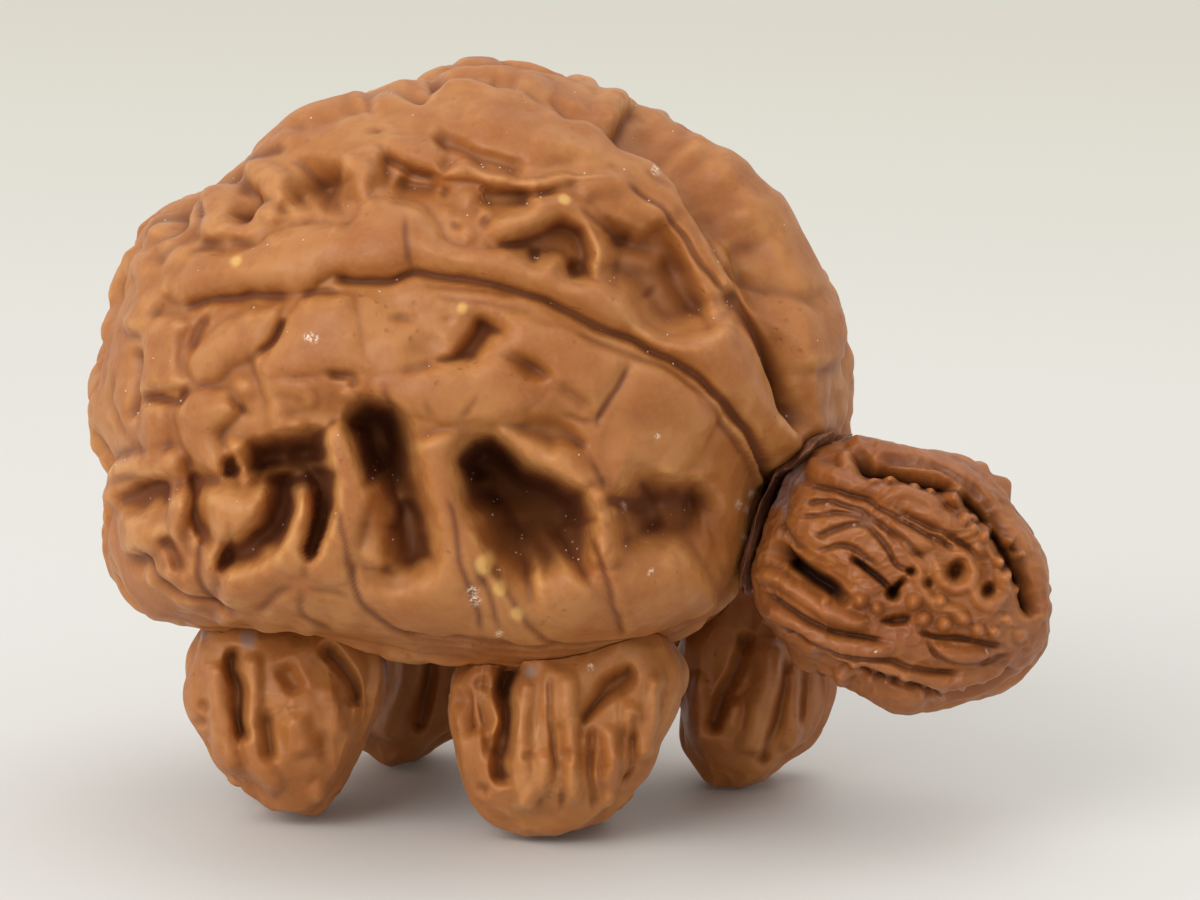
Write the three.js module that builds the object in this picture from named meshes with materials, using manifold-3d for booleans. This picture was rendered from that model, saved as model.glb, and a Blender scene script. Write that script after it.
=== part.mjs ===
// A small standing tortoise made of six polished walnuts that are glued together.
// Lengths are in millimetres, +Z is up, +X points to the tortoise's head and +Y to its left side.
//
// Every nut is drawn as it is seen from one eye in front of the tortoise's right side. Across (a)
// and up (b) are measured on a sheet through the middle of the big nut, square to the line of
// sight, and toward is the way from that sheet to the eye. A nut is a rounded body with a drawn
// outline, and folds and hollows drawn on the sheet are raised on it or sunk into it. The side
// that is turned away repeats the same drawing turned round, stretched and bent.

import * as THREE from 'three';
import { mergeVertices } from 'three/addons/utils/BufferGeometryUtils.js';
import Module from 'manifold-3d';

const wasm = await Module();
wasm.setup();

// Driving dimensions
const EYE_DISTANCE = 330;
const EYE_AZIMUTH = THREE.MathUtils.degToRad(18);
const EYE_ELEVATION = THREE.MathUtils.degToRad(10);
const EYE_ACROSS = 7.8;
const EYE_UP = -5.28;
const SHELL_CENTRE = new THREE.Vector3(-6.35, 0.03, 26.8);
const SHELL_HALF_DEPTH = 19.4;
const SHELL_SQUARENESS = 2.15;
const SHELL_LOW_SQUARENESS = 3.3;
const SHELL_FACETS = 24;
const HEAD_FACETS = 12;
const LEG_FACETS = 9;
const NEAR_SIDE_BIAS = 0.28;
const FOOT_FLAT = 0.35;
const SEAT_GAP = 0.3;
const UNDULATION = 0.18;
const EASING = 0.5;
const OUTLINE_SINK = 0.75;
const SHOULDER = 0.3;
const SHOULDER_REACH = 1.3;
const PILLOW_REACH = 1.8;
const PILLOW_RISE = 1.5;
const PILLOW_POWER = 2.2;
const RIDGE_GAIN = 1.3;
const NET_WALL = 0.55;
const SEAM_LIP = 0.9;
const SEAM_WIDTH = 2.2;
const SEAM_FURROW = 0.9;
const SHELL_SEAMS = [15, 57, 122, 166, -62, -118].map(THREE.MathUtils.degToRad);
const GLUE_REACH = 1.2;

// The eye's own axes
const RIGHT = new THREE.Vector3(Math.cos(EYE_AZIMUTH), Math.sin(EYE_AZIMUTH), 0);
const TOWARD = new THREE.Vector3(
  Math.sin(EYE_AZIMUTH) * Math.cos(EYE_ELEVATION),
  -Math.cos(EYE_AZIMUTH) * Math.cos(EYE_ELEVATION),
  Math.sin(EYE_ELEVATION),
);
const UP = new THREE.Vector3().crossVectors(TOWARD, RIGHT);

// Outlines on the sheet, clockwise from the left
const SHELL_OUTLINE = [
  [-21.6, -6.8], [-22.5, -4.9], [-22.9, -3.5], [-22.7, -1.6], [-22.0, 0.6], [-21.6, 2.4], [-20.9, 4.0],
  [-20.0, 6.3], [-19.4, 7.9], [-18.0, 9.3], [-16.4, 10.1], [-15.0, 10.8], [-14.0, 12.1], [-12.0, 13.8],
  [-10.0, 15.1], [-7.0, 15.9], [-5.0, 16.6], [-3.0, 17.1], [-1.0, 17.8], [1.2, 18.1], [4.0, 17.7],
  [7.0, 16.9], [10.0, 15.6], [12.5, 14.3], [14.0, 13.0], [16.0, 11.9], [17.0, 10.6], [18.6, 9.3],
  [19.5, 7.5], [20.5, 5.6], [21.8, 3.2], [22.6, 0.0], [22.7, -2.3], [22.2, -4.9], [20.2, -6.2],
  [17.7, -7.2], [17.3, -9.0], [16.8, -11.1], [16.2, -13.4], [15.0, -14.9], [13.6, -16.1], [11.0, -17.1],
  [8.0, -17.9], [5.0, -18.2], [2.0, -18.1], [-1.0, -17.9], [-4.0, -17.6], [-7.0, -17.2], [-10.3, -16.7],
  [-13.0, -16.6], [-15.2, -16.1], [-17.7, -15.5], [-19.3, -15.3], [-21.0, -13.8], [-21.8, -12.0],
  [-22.1, -10.5], [-22.0, -8.5],
];
const HEAD_OUTLINE = [
  [16.7, -13.0], [17.3, -10.6], [17.9, -8.2], [18.9, -6.5], [20.5, -5.2], [22.5, -4.8], [24.2, -4.6],
  [26.0, -4.8], [28.0, -5.2], [30.0, -5.9], [32.0, -7.4], [33.5, -9.5], [34.5, -11.2], [35.0, -13.2],
  [35.1, -16.0], [34.3, -17.9], [33.0, -19.3], [31.0, -20.4], [28.0, -21.1], [26.0, -21.3],
  [24.5, -20.8], [22.7, -20.0], [21.0, -19.1], [19.2, -17.6], [17.6, -16.1], [16.9, -14.6],
];
const LEGS = {
  leg_front_right: {
    toward: 5.0, halfDepth: 6.2,
    outline: [
      [-1.4, -21.5], [-1.2, -19.2], [0.0, -17.0], [2.0, -15.2], [5.5, -14.2], [9.0, -14.6], [11.6, -15.9],
      [12.9, -18.0], [12.7, -20.3], [12.1, -21.9], [11.0, -24.7], [10.0, -26.2], [8.5, -27.5],
      [6.5, -28.2], [4.2, -28.5], [1.6, -28.0], [0.0, -26.7], [-1.0, -24.3],
    ],
  },
  leg_rear_right: {
    toward: 0.6, halfDepth: 6.0,
    outline: [
      [-17.3, -20.0], [-17.0, -17.6], [-15.6, -15.4], [-13.0, -14.2], [-10.0, -14.0], [-7.2, -14.8],
      [-5.3, -16.8], [-4.9, -19.5], [-5.7, -21.8], [-6.4, -23.5], [-7.1, -25.4], [-8.4, -27.0],
      [-9.5, -27.6], [-11.3, -27.4], [-12.9, -26.7], [-14.5, -25.3], [-15.7, -23.6], [-16.9, -22.0],
    ],
  },
  leg_front_left: {
    toward: -7.4, halfDepth: 5.2,
    outline: [
      [12.3, -20.6], [12.1, -17.8], [12.5, -15.2], [14.4, -13.1], [17.8, -12.8], [20.0, -13.8],
      [21.6, -16.0], [22.0, -18.6], [21.4, -21.2], [20.4, -23.0], [19.0, -24.0], [17.4, -25.0],
      [15.6, -25.2], [14.1, -24.8], [13.0, -23.6],
    ],
  },
  leg_rear_left: {
    toward: -13.3, halfDepth: 5.0,
    outline: [
      [-9.0, -18.6], [-8.3, -15.8], [-6.4, -13.6], [-3.8, -12.7], [-1.2, -13.4], [0.7, -15.4],
      [1.4, -18.2], [0.6, -20.9], [-1.2, -22.6], [-3.0, -23.7], [-4.4, -23.9], [-5.8, -23.5],
      [-7.6, -22.0],
    ],
  },
};
const HEAD_TOWARD = 5.4;
const HEAD_HALF_DEPTH = 8.0;

// Drawn folds: each is a smooth swelling or furrow along a path
function fold(path, height, width) {
  return { path, height, width };
}

// Drawn patches: each is a closed outline, raised as a lobe or sunk as a hollow over its wall's width
function patch(outline, height, wall) {
  return { outline, height, wall };
}

const SHELL_FOLDS = [
  // side seam: its furrow, the rounded lip above it and the band that carries on to the neck
  fold([[-17.2, 3.2], [-14, 3.8], [-10.5, 3.9], [-7, 4.9], [-3.4, 5.3], [1, 4.9], [4, 3.9], [7, 2.4],
    [10, 1.1], [13.5, -0.8], [16, -3.4], [17.6, -6.5]], -0.9, 0.9),
  fold([[-18.2, 4.8], [-15.5, 5.4], [-12, 5.9], [-8, 6.5], [-4, 6.9], [0, 6.0], [4, 5.2], [8, 3.9], [11, 1.6],
    [14, 0.3], [17, -3], [19, -5.2]], 1.0, 1.9),
  // upper seam: its raised lip, the furrow under it and the drop behind it
  fold([[-13.5, 10.8], [-10, 12.4], [-6, 13.7], [-3, 14.4], [0, 15.2], [4, 14.4], [7.6, 13.1], [10, 11.5],
    [12.5, 9.4], [14.1, 7], [15.3, 4.8]], 0.9, 1.5),
  fold([[9, 10.5], [11.5, 9.1], [13.5, 6.4], [15.2, 4.1]], -0.5, 0.8),
  fold([[14.5, 7.8], [15.9, 3.8], [17, 2.2], [18.6, -0.5], [20.2, -4.2]], -1.2, 1.6),
  // arch between two hollows of the middle band, and the knob beside it
  fold([[1, 7.4], [3, 8.3], [5.2, 9.2], [7, 8.4], [7.8, 6.6], [7.5, 4.9]], 0.8, 0.9),
  fold([[-6.6, 8.6], [-4.5, 9.1], [-2, 8.3]], 0.9, 1.4),
  fold([[-1.7, 11.6], [1, 11.3], [3.5, 10.8], [6.5, 11]], 0.6, 0.8),
  // the brow over the hollows, the swollen lower side and the swell of the upper left
  fold([[-13, -0.5], [-8, 0.8], [-4, -1.2], [0, -2], [5, -0.5], [10, -2.5], [14, -5]], 0.8, 2.6),
  fold([[-15, -12.5], [-9, -13.5], [-3, -14], [4, -14.8], [10, -14], [14, -12]], 0.7, 2.4),
  fold([[-18.4, 9.6], [-15.8, 11.4], [-13, 13.2], [-9.6, 14.8], [-5.8, 16]], 0.5, 1.5),
  // rolls and valleys of the upper left
  fold([[-12, 8.6], [-14.5, 8.2], [-17, 7], [-19, 5.2], [-19.6, 3.1], [-20.2, 1.6]], 0.6, 0.9),
  fold([[-17.6, 6.9], [-17.1, 8.4], [-16.2, 10]], -0.8, 1.1),
  fold([[-15.9, 7.4], [-15.1, 9.2], [-14.2, 10.9]], 0.6, 1.1),
  fold([[-14.2, 7.8], [-13.4, 9.6], [-12.6, 11]], -0.9, 1.2),
  fold([[-12.8, 8.4], [-12, 10], [-11.2, 11.6]], 0.6, 1.0),
  fold([[-7.2, 9.8], [-6.7, 11], [-7.4, 12.4]], 0.7, 0.9),
  fold([[-19.4, 7.1], [-17.8, 8.9], [-16, 10.1], [-14.4, 11], [-12.6, 11.9], [-10.6, 12.7]], -0.5, 0.8),
  fold([[-20, 1], [-20, -1], [-20.6, -3.7]], -0.8, 0.9),
  // folds of the upper right
  fold([[8.6, 14.8], [11.5, 12.9], [14.2, 9.7], [16.9, 5.9], [18.5, 1.1], [19.5, -3.7]], -1.3, 1.7),
  fold([[8, 16.4], [10.5, 15.5], [14.7, 12.3], [17.9, 9.7], [21.1, 4.9], [22.2, 1.1]], 0.7, 1.0),
  // valleys and pillars of the deep hollows of the lower side
  fold([[-8.9, -6], [-8.9, -8.2], [-9.3, -10], [-9.9, -12]], -2.4, 1.2),
  fold([[-11, -6.4], [-11.2, -8], [-11.7, -9.6], [-12.8, -10.9], [-14.2, -11.6], [-15.2, -11.4]], -2.4, 1.3),
  fold([[-10.9, -12.6], [-10.2, -10.6], [-9.95, -8.8], [-10, -7.2]], 1.3, 0.8),
  fold([[-8.7, -3.9], [-8, -4.8], [-7.6, -6], [-7.2, -7.4], [-7.4, -9], [-8, -11], [-8.8, -13]], 1.5, 1.1),
  fold([[-2.4, -4.2], [-1.9, -6], [-1.6, -8], [-1.2, -9.6], [-0.6, -11.2], [0.6, -13]], 1.2, 1.4),
  fold([[6, -6.3], [7.5, -8], [7.9, -10], [8.2, -12], [8.8, -15.6]], 0.9, 1.2),
  // bottom rim and the furrow above it
  fold([[-17, -14.8], [-12, -15.8], [-6, -16.5], [0, -17.1], [6, -17.4], [11, -16.6], [14, -15]], 0.7, 1.3),
  fold([[-4, -16.1], [0, -16.3], [5, -16.7], [10, -16.5], [13.5, -15.5]], -0.4, 0.7),
];
const SHELL_PATCHES = [
  // deep hollows of the lower side, from the rear to the neck
  patch([[-13.9, -6.2], [-12.8, -4.9], [-11.2, -4.4], [-9.2, -4.1], [-8.3, -4.7], [-8.1, -6.2], [-8.4, -7.8],
    [-11, -7.1], [-13.6, -7.1]], -3.8, 1.8),
  patch([[-15.9, -8], [-15.2, -7.4], [-12, -7.2], [-11.4, -8], [-11.9, -9.4], [-13, -10.4], [-14.6, -10.9],
    [-15.9, -9.2]], 0.6, 1.4),
  patch([[-7.4, -3.5], [-6.4, -2.4], [-4.9, -2.5], [-3.9, -3.4], [-3.5, -5.3], [-3.1, -7.3], [-2.5, -9.8],
    [-2.3, -11.6], [-4.6, -12.8], [-5.5, -12], [-5.7, -9.8], [-6.5, -6.8], [-7, -5]], -4.8, 2.4),
  patch([[-0.7, -5.9], [0.5, -4.65], [1.9, -4.95], [4.2, -6.6], [6.2, -7.6], [7.3, -9.2], [7, -12],
    [5, -13.9], [3.2, -13.3], [1, -10.2], [-0.2, -8.2]], -5.8, 2.9),
  patch([[8.3, -8.1], [10.2, -7], [13.6, -7.4], [15, -9.8], [14.2, -11.5], [11, -12.3],
    [8.7, -11]], -2.6, 2.8),
  patch([[1.9, -3.8], [3.3, -3.1], [5, -3.2], [7, -4.9], [5.5, -5.2], [3.6, -4.6]], -1.1, 0.9),
  patch([[-3.5, -0.6], [-1.2, 0.6], [0.4, 2.7], [1.8, 2.0], [0.8, 0.2], [4.5, -1.2], [-1, -0.6]], -1.6, 1.0),
  // hollows of the middle band
  patch([[-10.3, 12], [-8, 12], [-6.4, 10.8], [-7.4, 8.9], [-9, 9.3]], -1.7, 2.0),
  patch([[-5.3, 12.3], [-2.5, 11], [-2.2, 10], [-5, 10.1]], -0.8, 0.9),
  patch([[1.8, 7.1], [4.5, 8.3], [6.6, 8.2], [7.5, 6], [6.2, 4.95], [4.5, 6.1], [3, 6.4]], -1.7, 1.7),
  patch([[6.9, 9.1], [9, 8.4], [12, 6.8], [13.6, 4.4], [14.2, 2.6], [12, 1.8], [9.8, 3.6],
    [7.8, 5.8]], -2.2, 2.4),
  patch([[-13.9, 8.8], [-12.2, 10], [-11.8, 9.4]], -0.8, 0.8),
  // lobes of the rear end
  patch([[-19.4, 2.4], [-17.2, 2.4], [-17, -1.2], [-19.9, -1.8]], 0.5, 0.9),
  patch([[-16.8, 0.2], [-14.6, 2.6], [-11.3, 3.4], [-12.2, 0.8], [-14.6, -1], [-16.4, -1.2]], 0.7, 1.1),
  patch([[-10.2, 3.7], [-7, 4], [-5.8, -0.3], [-8, -0.6], [-12.2, -0.8], [-11.2, 1.9]], 0.9, 1.3),
  patch([[-17.6, -3.4], [-15.8, -2], [-13.9, -2.6], [-14.4, -5.2], [-16.2, -6.3]], 0.8, 1.1),
  patch([[-17, -6.4], [-15, -7], [-16.2, -8.7], [-15.6, -10], [-17, -11.5], [-17.6, -10]], -1.2, 1.1),
  patch([[-20.4, -6.4], [-17.8, -6], [-17.6, -9], [-19.6, -10.6]], -0.8, 1.2),
  // smooth lobe behind the neck
  patch([[16.6, 3], [19.4, 3], [21.8, -2], [20.6, -4.8], [19.6, -2.4]], 0.6, 1.6),
];
const HEAD_FOLDS = [
  // furrow of the upper seam and the crescent behind it
  fold([[22.9, -5.6], [24.2, -6.6], [26.7, -6.9], [29.4, -7.9], [31.2, -9.8], [32.3, -12.1],
    [33.7, -15.4]], -1.7, 0.9),
  fold([[22.5, -5.2], [26, -5.5], [29.5, -6.7], [32, -9.1], [34, -13], [34.5, -15.5]], 0.4, 0.8),
  fold([[20, -6.3], [24.8, -7.7], [27.9, -9.2], [31.4, -11.4], [33, -14.2]], 0.5, 0.8),
  // long slit, and the lobe above and below it
  fold([[17.9, -11.1], [19.8, -12.2], [21.8, -13.6], [22.5, -14.2]], -2.4, 0.8),
  fold([[22.7, -11.6], [24, -12.5], [25.4, -13.8]], -1.1, 0.7),
  fold([[20, -9.4], [23, -10.6], [26, -12.4]], 0.4, 1.0),
  fold([[17.8, -12.6], [20, -14.4], [23, -15.9], [27, -16.9], [31, -17.3]], 0.5, 1.1),
  // furrow of the lower seam
  fold([[20.7, -17.2], [24.2, -18.7], [28.3, -20.1], [30.4, -19.7], [33, -18.5]], -0.8, 0.8),
];
const HEAD_PATCHES = [
  patch([[24.6, -13.8], [26.4, -13.4], [25.6, -14.6]], -1.3, 0.7),
  patch([[28.3, -12.1], [29.5, -12.2], [29, -12.9]], -0.6, 0.6),
];
const LEG_FOLDS = {
  leg_front_right: [
    fold([[2.6, -18.4], [2.2, -20.6], [2.2, -23], [2.3, -25.4]], -1.6, 1.1),
    fold([[-0.4, -19.4], [0.2, -21.2], [0.5, -22.6]], -0.8, 0.9),
    fold([[3.6, -19.6], [3, -22], [3.2, -24.6], [3.4, -27]], 0.5, 0.8),
    fold([[9.4, -18.6], [8, -19.6], [6.8, -21.4]], -1.2, 1.2),
    fold([[9.8, -20.8], [9.8, -23.4], [9.3, -25.8]], -0.5, 0.8),
    fold([[8.4, -21.5], [8.6, -24.4], [8.3, -26.8]], 0.5, 0.8),
    fold([[11.2, -18.4], [11, -21.4], [10.3, -24]], 0.5, 0.8),
    fold([[5.9, -18.4], [6, -22], [6.3, -26.6]], 0.5, 0.8),
  ],
  leg_rear_right: [
    fold([[-14.3, -17.4], [-14, -20.4], [-13.7, -22.6]], -1.2, 0.9),
    fold([[-15.4, -18], [-15.3, -21], [-14.6, -24]], 0.4, 0.9),
    fold([[-12.6, -17.8], [-13, -21.4], [-12.6, -24.6]], 0.5, 0.9),
    fold([[-11.4, -20.9], [-11.8, -23], [-11.2, -25]], -0.6, 0.9),
    fold([[-8.6, -17.6], [-7.4, -19.2], [-7, -21]], -0.8, 0.9),
  ],
  leg_front_left: [
    fold([[15.4, -16.4], [14.9, -19.4], [14.8, -22.4]], -1.0, 1.2),
    fold([[18, -17], [17.6, -20], [17, -23]], 0.7, 1.2),
    fold([[19.4, -17.6], [19.2, -20.4], [18, -23.6]], -0.7, 0.9),
  ],
  leg_rear_left: [
    fold([[-3.9, -16.4], [-4.4, -19.6], [-5.4, -22.4]], 0.7, 1.1),
    fold([[-2.2, -16], [-2.6, -19], [-3, -22]], -0.7, 1.0),
    fold([[-6.2, -16.6], [-6.4, -20]], -0.6, 1.0),
  ],
};

const smooth = (from, to, x) => THREE.MathUtils.smoothstep(x, from, to);

// Distance from a point to a path, straight between its points
function distanceToPath(a, b, path, closed) {
  let nearest = Infinity;
  const last = closed ? path.length : path.length - 1;
  for (let i = 0; i < last; i += 1) {
    const [x0, y0] = path[i];
    const [x1, y1] = path[(i + 1) % path.length];
    const dx = x1 - x0;
    const dy = y1 - y0;
    const along = THREE.MathUtils.clamp(((a - x0) * dx + (b - y0) * dy) / (dx * dx + dy * dy), 0, 1);
    nearest = Math.min(nearest, Math.hypot(a - x0 - along * dx, b - y0 - along * dy));
  }
  return nearest;
}

function isInside(a, b, outline) {
  let inside = false;
  for (let i = 0, j = outline.length - 1; i < outline.length; j = i, i += 1) {
    const [x0, y0] = outline[i];
    const [x1, y1] = outline[j];
    const crosses = (y0 > b) !== (y1 > b);
    if (crosses && a < ((x1 - x0) * (b - y0)) / (y1 - y0) + x0) {
      inside = !inside;
    }
  }
  return inside;
}

// How far a patch has reached its height: a hollow rolls in over a broad shoulder, a lobe is a pillow
function patchShare(depth, rise, wall) {
  if (rise > 0) {
    const share = THREE.MathUtils.clamp(depth / (PILLOW_REACH * wall), 0, 1);
    return PILLOW_RISE * (1 - (1 - share) ** PILLOW_POWER);
  }
  const core = smooth(-0.35 * wall, 0.65 * wall, depth);
  const shoulder = smooth(-SHOULDER_REACH * wall, SHOULDER_REACH * 0.6 * wall, depth);
  return THREE.MathUtils.lerp(core, shoulder, SHOULDER);
}

// Height of all folds and patches at a place on the sheet
function drawnHeight(a, b, folds, patches) {
  let height = 0;
  for (const { path, height: rise, width } of folds) {
    const share = distanceToPath(a, b, path, false) / width;
    if (share < 1.6) {
      height += (rise > 0 ? RIDGE_GAIN : 1) * rise * Math.exp(-1.6 * share * share);
    }
  }
  for (const { outline, height: rise, wall } of patches) {
    const edge = distanceToPath(a, b, outline, true);
    const depth = isInside(a, b, outline) ? edge : -edge;
    height += rise * patchShare(depth, rise, wall);
  }
  return height;
}

// Outline radius in a direction from a nut's middle, straight between drawn points
function outlineRadius(outline, centre, angle) {
  const ux = Math.cos(angle);
  const uy = Math.sin(angle);
  let radius = 0;
  for (let i = 0; i < outline.length; i += 1) {
    const x0 = outline[i][0] - centre[0];
    const y0 = outline[i][1] - centre[1];
    const x1 = outline[(i + 1) % outline.length][0] - centre[0];
    const y1 = outline[(i + 1) % outline.length][1] - centre[1];
    const cross = ux * (y1 - y0) - uy * (x1 - x0);
    const reach = (x0 * (y1 - y0) - y0 * (x1 - x0)) / cross;
    const share = (x0 * uy - y0 * ux) / cross;
    if (reach > 0 && share >= -1e-9 && share <= 1 + 1e-9) {
      radius = Math.max(radius, reach);
    }
  }
  return radius;
}

// Middle of an outline's box
function outlineCentre(outline) {
  const across = outline.map(([a]) => a);
  const up = outline.map(([, b]) => b);
  return [
    (Math.min(...across) + Math.max(...across)) / 2,
    (Math.min(...up) + Math.max(...up)) / 2,
  ];
}

// Place on the sheet, and distance toward the eye, turned to a point of the standing tortoise
function toWorld(a, b, toward) {
  const scale = 1 - toward / EYE_DISTANCE;
  return SHELL_CENTRE.clone()
    .addScaledVector(RIGHT, EYE_ACROSS + (a - EYE_ACROSS) * scale)
    .addScaledVector(UP, EYE_UP + (b - EYE_UP) * scale)
    .addScaledVector(TOWARD, toward);
}

// A sphere's directions on the grid of a cube, closer together on the near side
function nutDirections(facets) {
  const cube = new THREE.BoxGeometry(2, 2, 2, facets, facets, facets);
  cube.deleteAttribute('normal');
  cube.deleteAttribute('uv');
  const sphere = mergeVertices(cube, 1e-4);
  const place = sphere.getAttribute('position');
  const direction = new THREE.Vector3();
  for (let i = 0; i < place.count; i += 1) {
    direction.fromBufferAttribute(place, i);
    direction.set(
      Math.tan((direction.x * Math.PI) / 4),
      Math.tan((direction.y * Math.PI) / 4),
      Math.tan((direction.z * Math.PI) / 4),
    );
    direction.normalize();
    direction.z += NEAR_SIDE_BIAS;
    direction.normalize();
    place.setXYZ(i, direction.x, direction.y, direction.z);
  }
  return sphere;
}

// Gentle swells that run over a whole nut
function undulation(x, y, z, size) {
  const waves = Math.sin(x / size + 1.3) * Math.sin(y / size + 0.4) + Math.sin((y + z) / size) * 0.7;
  return UNDULATION * (waves + 0.6 * Math.sin((2.3 * z - x) / size + 2));
}

// A whole number's own fraction from 0 to 1, always the same
function fraction(i, j, k, salt) {
  let mixed = Math.imul(i, 73856093) ^ Math.imul(j, 19349663);
  mixed ^= Math.imul(k, 83492791) ^ Math.imul(salt, 40503);
  mixed = Math.imul(mixed ^ (mixed >>> 13), 1274126177);
  return ((mixed ^ (mixed >>> 16)) >>> 0) / 4294967296;
}

// Raised net with hollow meshes: high between two cells' seeds, low at a seed
function netHeight(x, y, z, size) {
  const i0 = Math.floor(x / size);
  const j0 = Math.floor(y / size);
  const k0 = Math.floor(z / size);
  let first = Infinity;
  let second = Infinity;
  for (let i = i0 - 1; i <= i0 + 1; i += 1) {
    for (let j = j0 - 1; j <= j0 + 1; j += 1) {
      for (let k = k0 - 1; k <= k0 + 1; k += 1) {
        const away = Math.hypot(
          x / size - i - fraction(i, j, k, 1),
          y / size - j - fraction(i, j, k, 2),
          z / size - k - fraction(i, j, k, 3),
        );
        second = Math.min(second, Math.max(first, away));
        first = Math.min(first, away);
      }
    }
  }
  return 1 - 2 * smooth(0, NET_WALL, second - first);
}

// Seams that run from pole to pole round the long way of a nut: a lip on both sides of a furrow
function seamHeight(y, z, seams) {
  const turn = Math.atan2(y, z);
  const girth = Math.hypot(y, z);
  let height = 0;
  for (const seam of seams) {
    const off = Math.abs(Math.atan2(Math.sin(turn - seam), Math.cos(turn - seam))) * girth;
    height += SEAM_LIP * Math.exp(-((off / SEAM_WIDTH) ** 2)) - SEAM_FURROW * Math.exp(-((off / 0.8) ** 2));
  }
  return height * smooth(2, 7, girth);
}

// The bare rounded body of a nut in one direction: its point, its outward normal and its radius
function bodyPoint(form, centre, dx, dy, dz) {
  const flat = Math.hypot(dx, dy);
  const radius = outlineRadius(form.outline, centre, Math.atan2(dy, dx));
  const low = dz > 0 ? smooth(0.3, 0.9, -dy / Math.max(flat, 1e-6)) : 0;
  const power = THREE.MathUtils.lerp(form.squareness, form.lowSquareness, low);
  const sum = (flat / radius) ** power + (Math.abs(dz) / form.halfDepth) ** power;
  const reach = sum ** (-1 / power);
  const point = new THREE.Vector3(dx, dy, dz).multiplyScalar(reach);
  const lean = (value, size) => (Math.sign(value) * (Math.abs(value) / size) ** (power - 1)) / size;
  const normal = new THREE.Vector3(
    lean(point.x, radius),
    lean(point.y, radius),
    lean(point.z, form.halfDepth),
  ).normalize();
  return { point, normal, radius };
}

// Height of a nut's relief over its bare body
function reliefHeight(form, centre, { point, normal, radius }) {
  const { x, y, z } = point;
  const size = form.netSize;
  const bend = 0.25 * size;
  const facing = smooth(0.12, 0.42, Math.abs(normal.z));
  const drawnA = z < 0 ? -0.94 * x + 0.8 * Math.sin(y / 5) : x;
  const drawnB = z < 0 ? 1.04 * y + 0.9 * Math.sin(x / 6) : y;
  const drawn = drawnHeight(centre[0] + drawnA, centre[1] + drawnB, form.folds, form.patches);
  const net = netHeight(
    x + bend * Math.sin(y / size),
    y + bend * Math.sin(z / size + 1),
    1.2 * z + bend * Math.sin(x / size + 2),
    size,
  );
  const plain = net * form.netHeight + seamHeight(y, z, form.seams) - OUTLINE_SINK;
  return drawn * facing + plain * (1 - facing) + undulation(x, y, z, radius / 6);
}

// Each vertex's height is eased toward the mean of its neighbours', which keeps steep walls even
function easeHeights(heights, index) {
  const sums = new Float64Array(heights.length);
  const counts = new Uint16Array(heights.length);
  for (let i = 0; i < index.count; i += 3) {
    for (let corner = 0; corner < 3; corner += 1) {
      const here = index.getX(i + corner);
      sums[here] += heights[index.getX(i + ((corner + 1) % 3))];
      counts[here] += 1;
    }
  }
  return heights.map((height, i) => THREE.MathUtils.lerp(height, sums[i] / counts[i], EASING));
}

// One nut: a rounded body on its outline, with its relief; extra adds an even margin all over
function makeNut(form, extra) {
  const centre = outlineCentre(form.outline);
  const geometry = nutDirections(form.facets);
  const place = geometry.getAttribute('position');
  const body = [];
  for (let i = 0; i < place.count; i += 1) {
    body.push(bodyPoint(form, centre, place.getX(i), place.getY(i), place.getZ(i)));
  }
  const heights = easeHeights(body.map((spot) => reliefHeight(form, centre, spot)), geometry.getIndex());
  body.forEach(({ point, normal }, i) => {
    const sink = Math.min(heights[i], 0) * smooth(0.55, 0.9, Math.abs(normal.z));
    const spot = point.clone().addScaledVector(normal, heights[i] - sink + extra);
    const toward = form.toward + spot.z + Math.sign(point.z) * sink;
    const { x, y, z } = toWorld(centre[0] + spot.x, centre[1] + spot.y, toward);
    place.setXYZ(i, x, y, z);
  });
  return geometry;
}

// Closed mesh to solid, and back
function toSolid(geometry) {
  const merged = mergeVertices(geometry, 1e-5);
  const vertProperties = new Float32Array(merged.getAttribute('position').array);
  const triVerts = new Uint32Array(merged.getIndex().array);
  return new wasm.Manifold(new wasm.Mesh({ numProp: 3, vertProperties, triVerts }));
}

function toGeometry(solid) {
  const mesh = solid.getMesh();
  const geometry = new THREE.BufferGeometry();
  const place = [];
  for (let i = 0; i < mesh.vertProperties.length; i += mesh.numProp) {
    place.push(mesh.vertProperties[i], mesh.vertProperties[i + 1], mesh.vertProperties[i + 2]);
  }
  geometry.setAttribute('position', new THREE.Float32BufferAttribute(place, 3));
  geometry.setIndex(Array.from(mesh.triVerts));
  return geometry;
}

function largestBody(solid) {
  return solid.decompose().sort((one, other) => other.volume() - one.volume())[0];
}

function lowestPoint(geometry) {
  geometry.computeBoundingBox();
  return geometry.boundingBox.min.z;
}

// A leg is let down until its foot, worn flat, stands on the floor
function standOnFloor(geometry, drop) {
  const place = geometry.getAttribute('position');
  for (let i = 0; i < place.count; i += 1) {
    place.setZ(i, Math.max(place.getZ(i) - drop, 0));
  }
  return geometry;
}

const WALNUT = new THREE.MeshStandardMaterial({ color: 0xa4683c, roughness: 0.5, metalness: 0 });
const DARK_WALNUT = new THREE.MeshStandardMaterial({ color: 0x8a4f2c, roughness: 0.5, metalness: 0 });
const GLUE = new THREE.MeshStandardMaterial({ color: 0x8c7466, roughness: 0.3, metalness: 0 });

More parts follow.
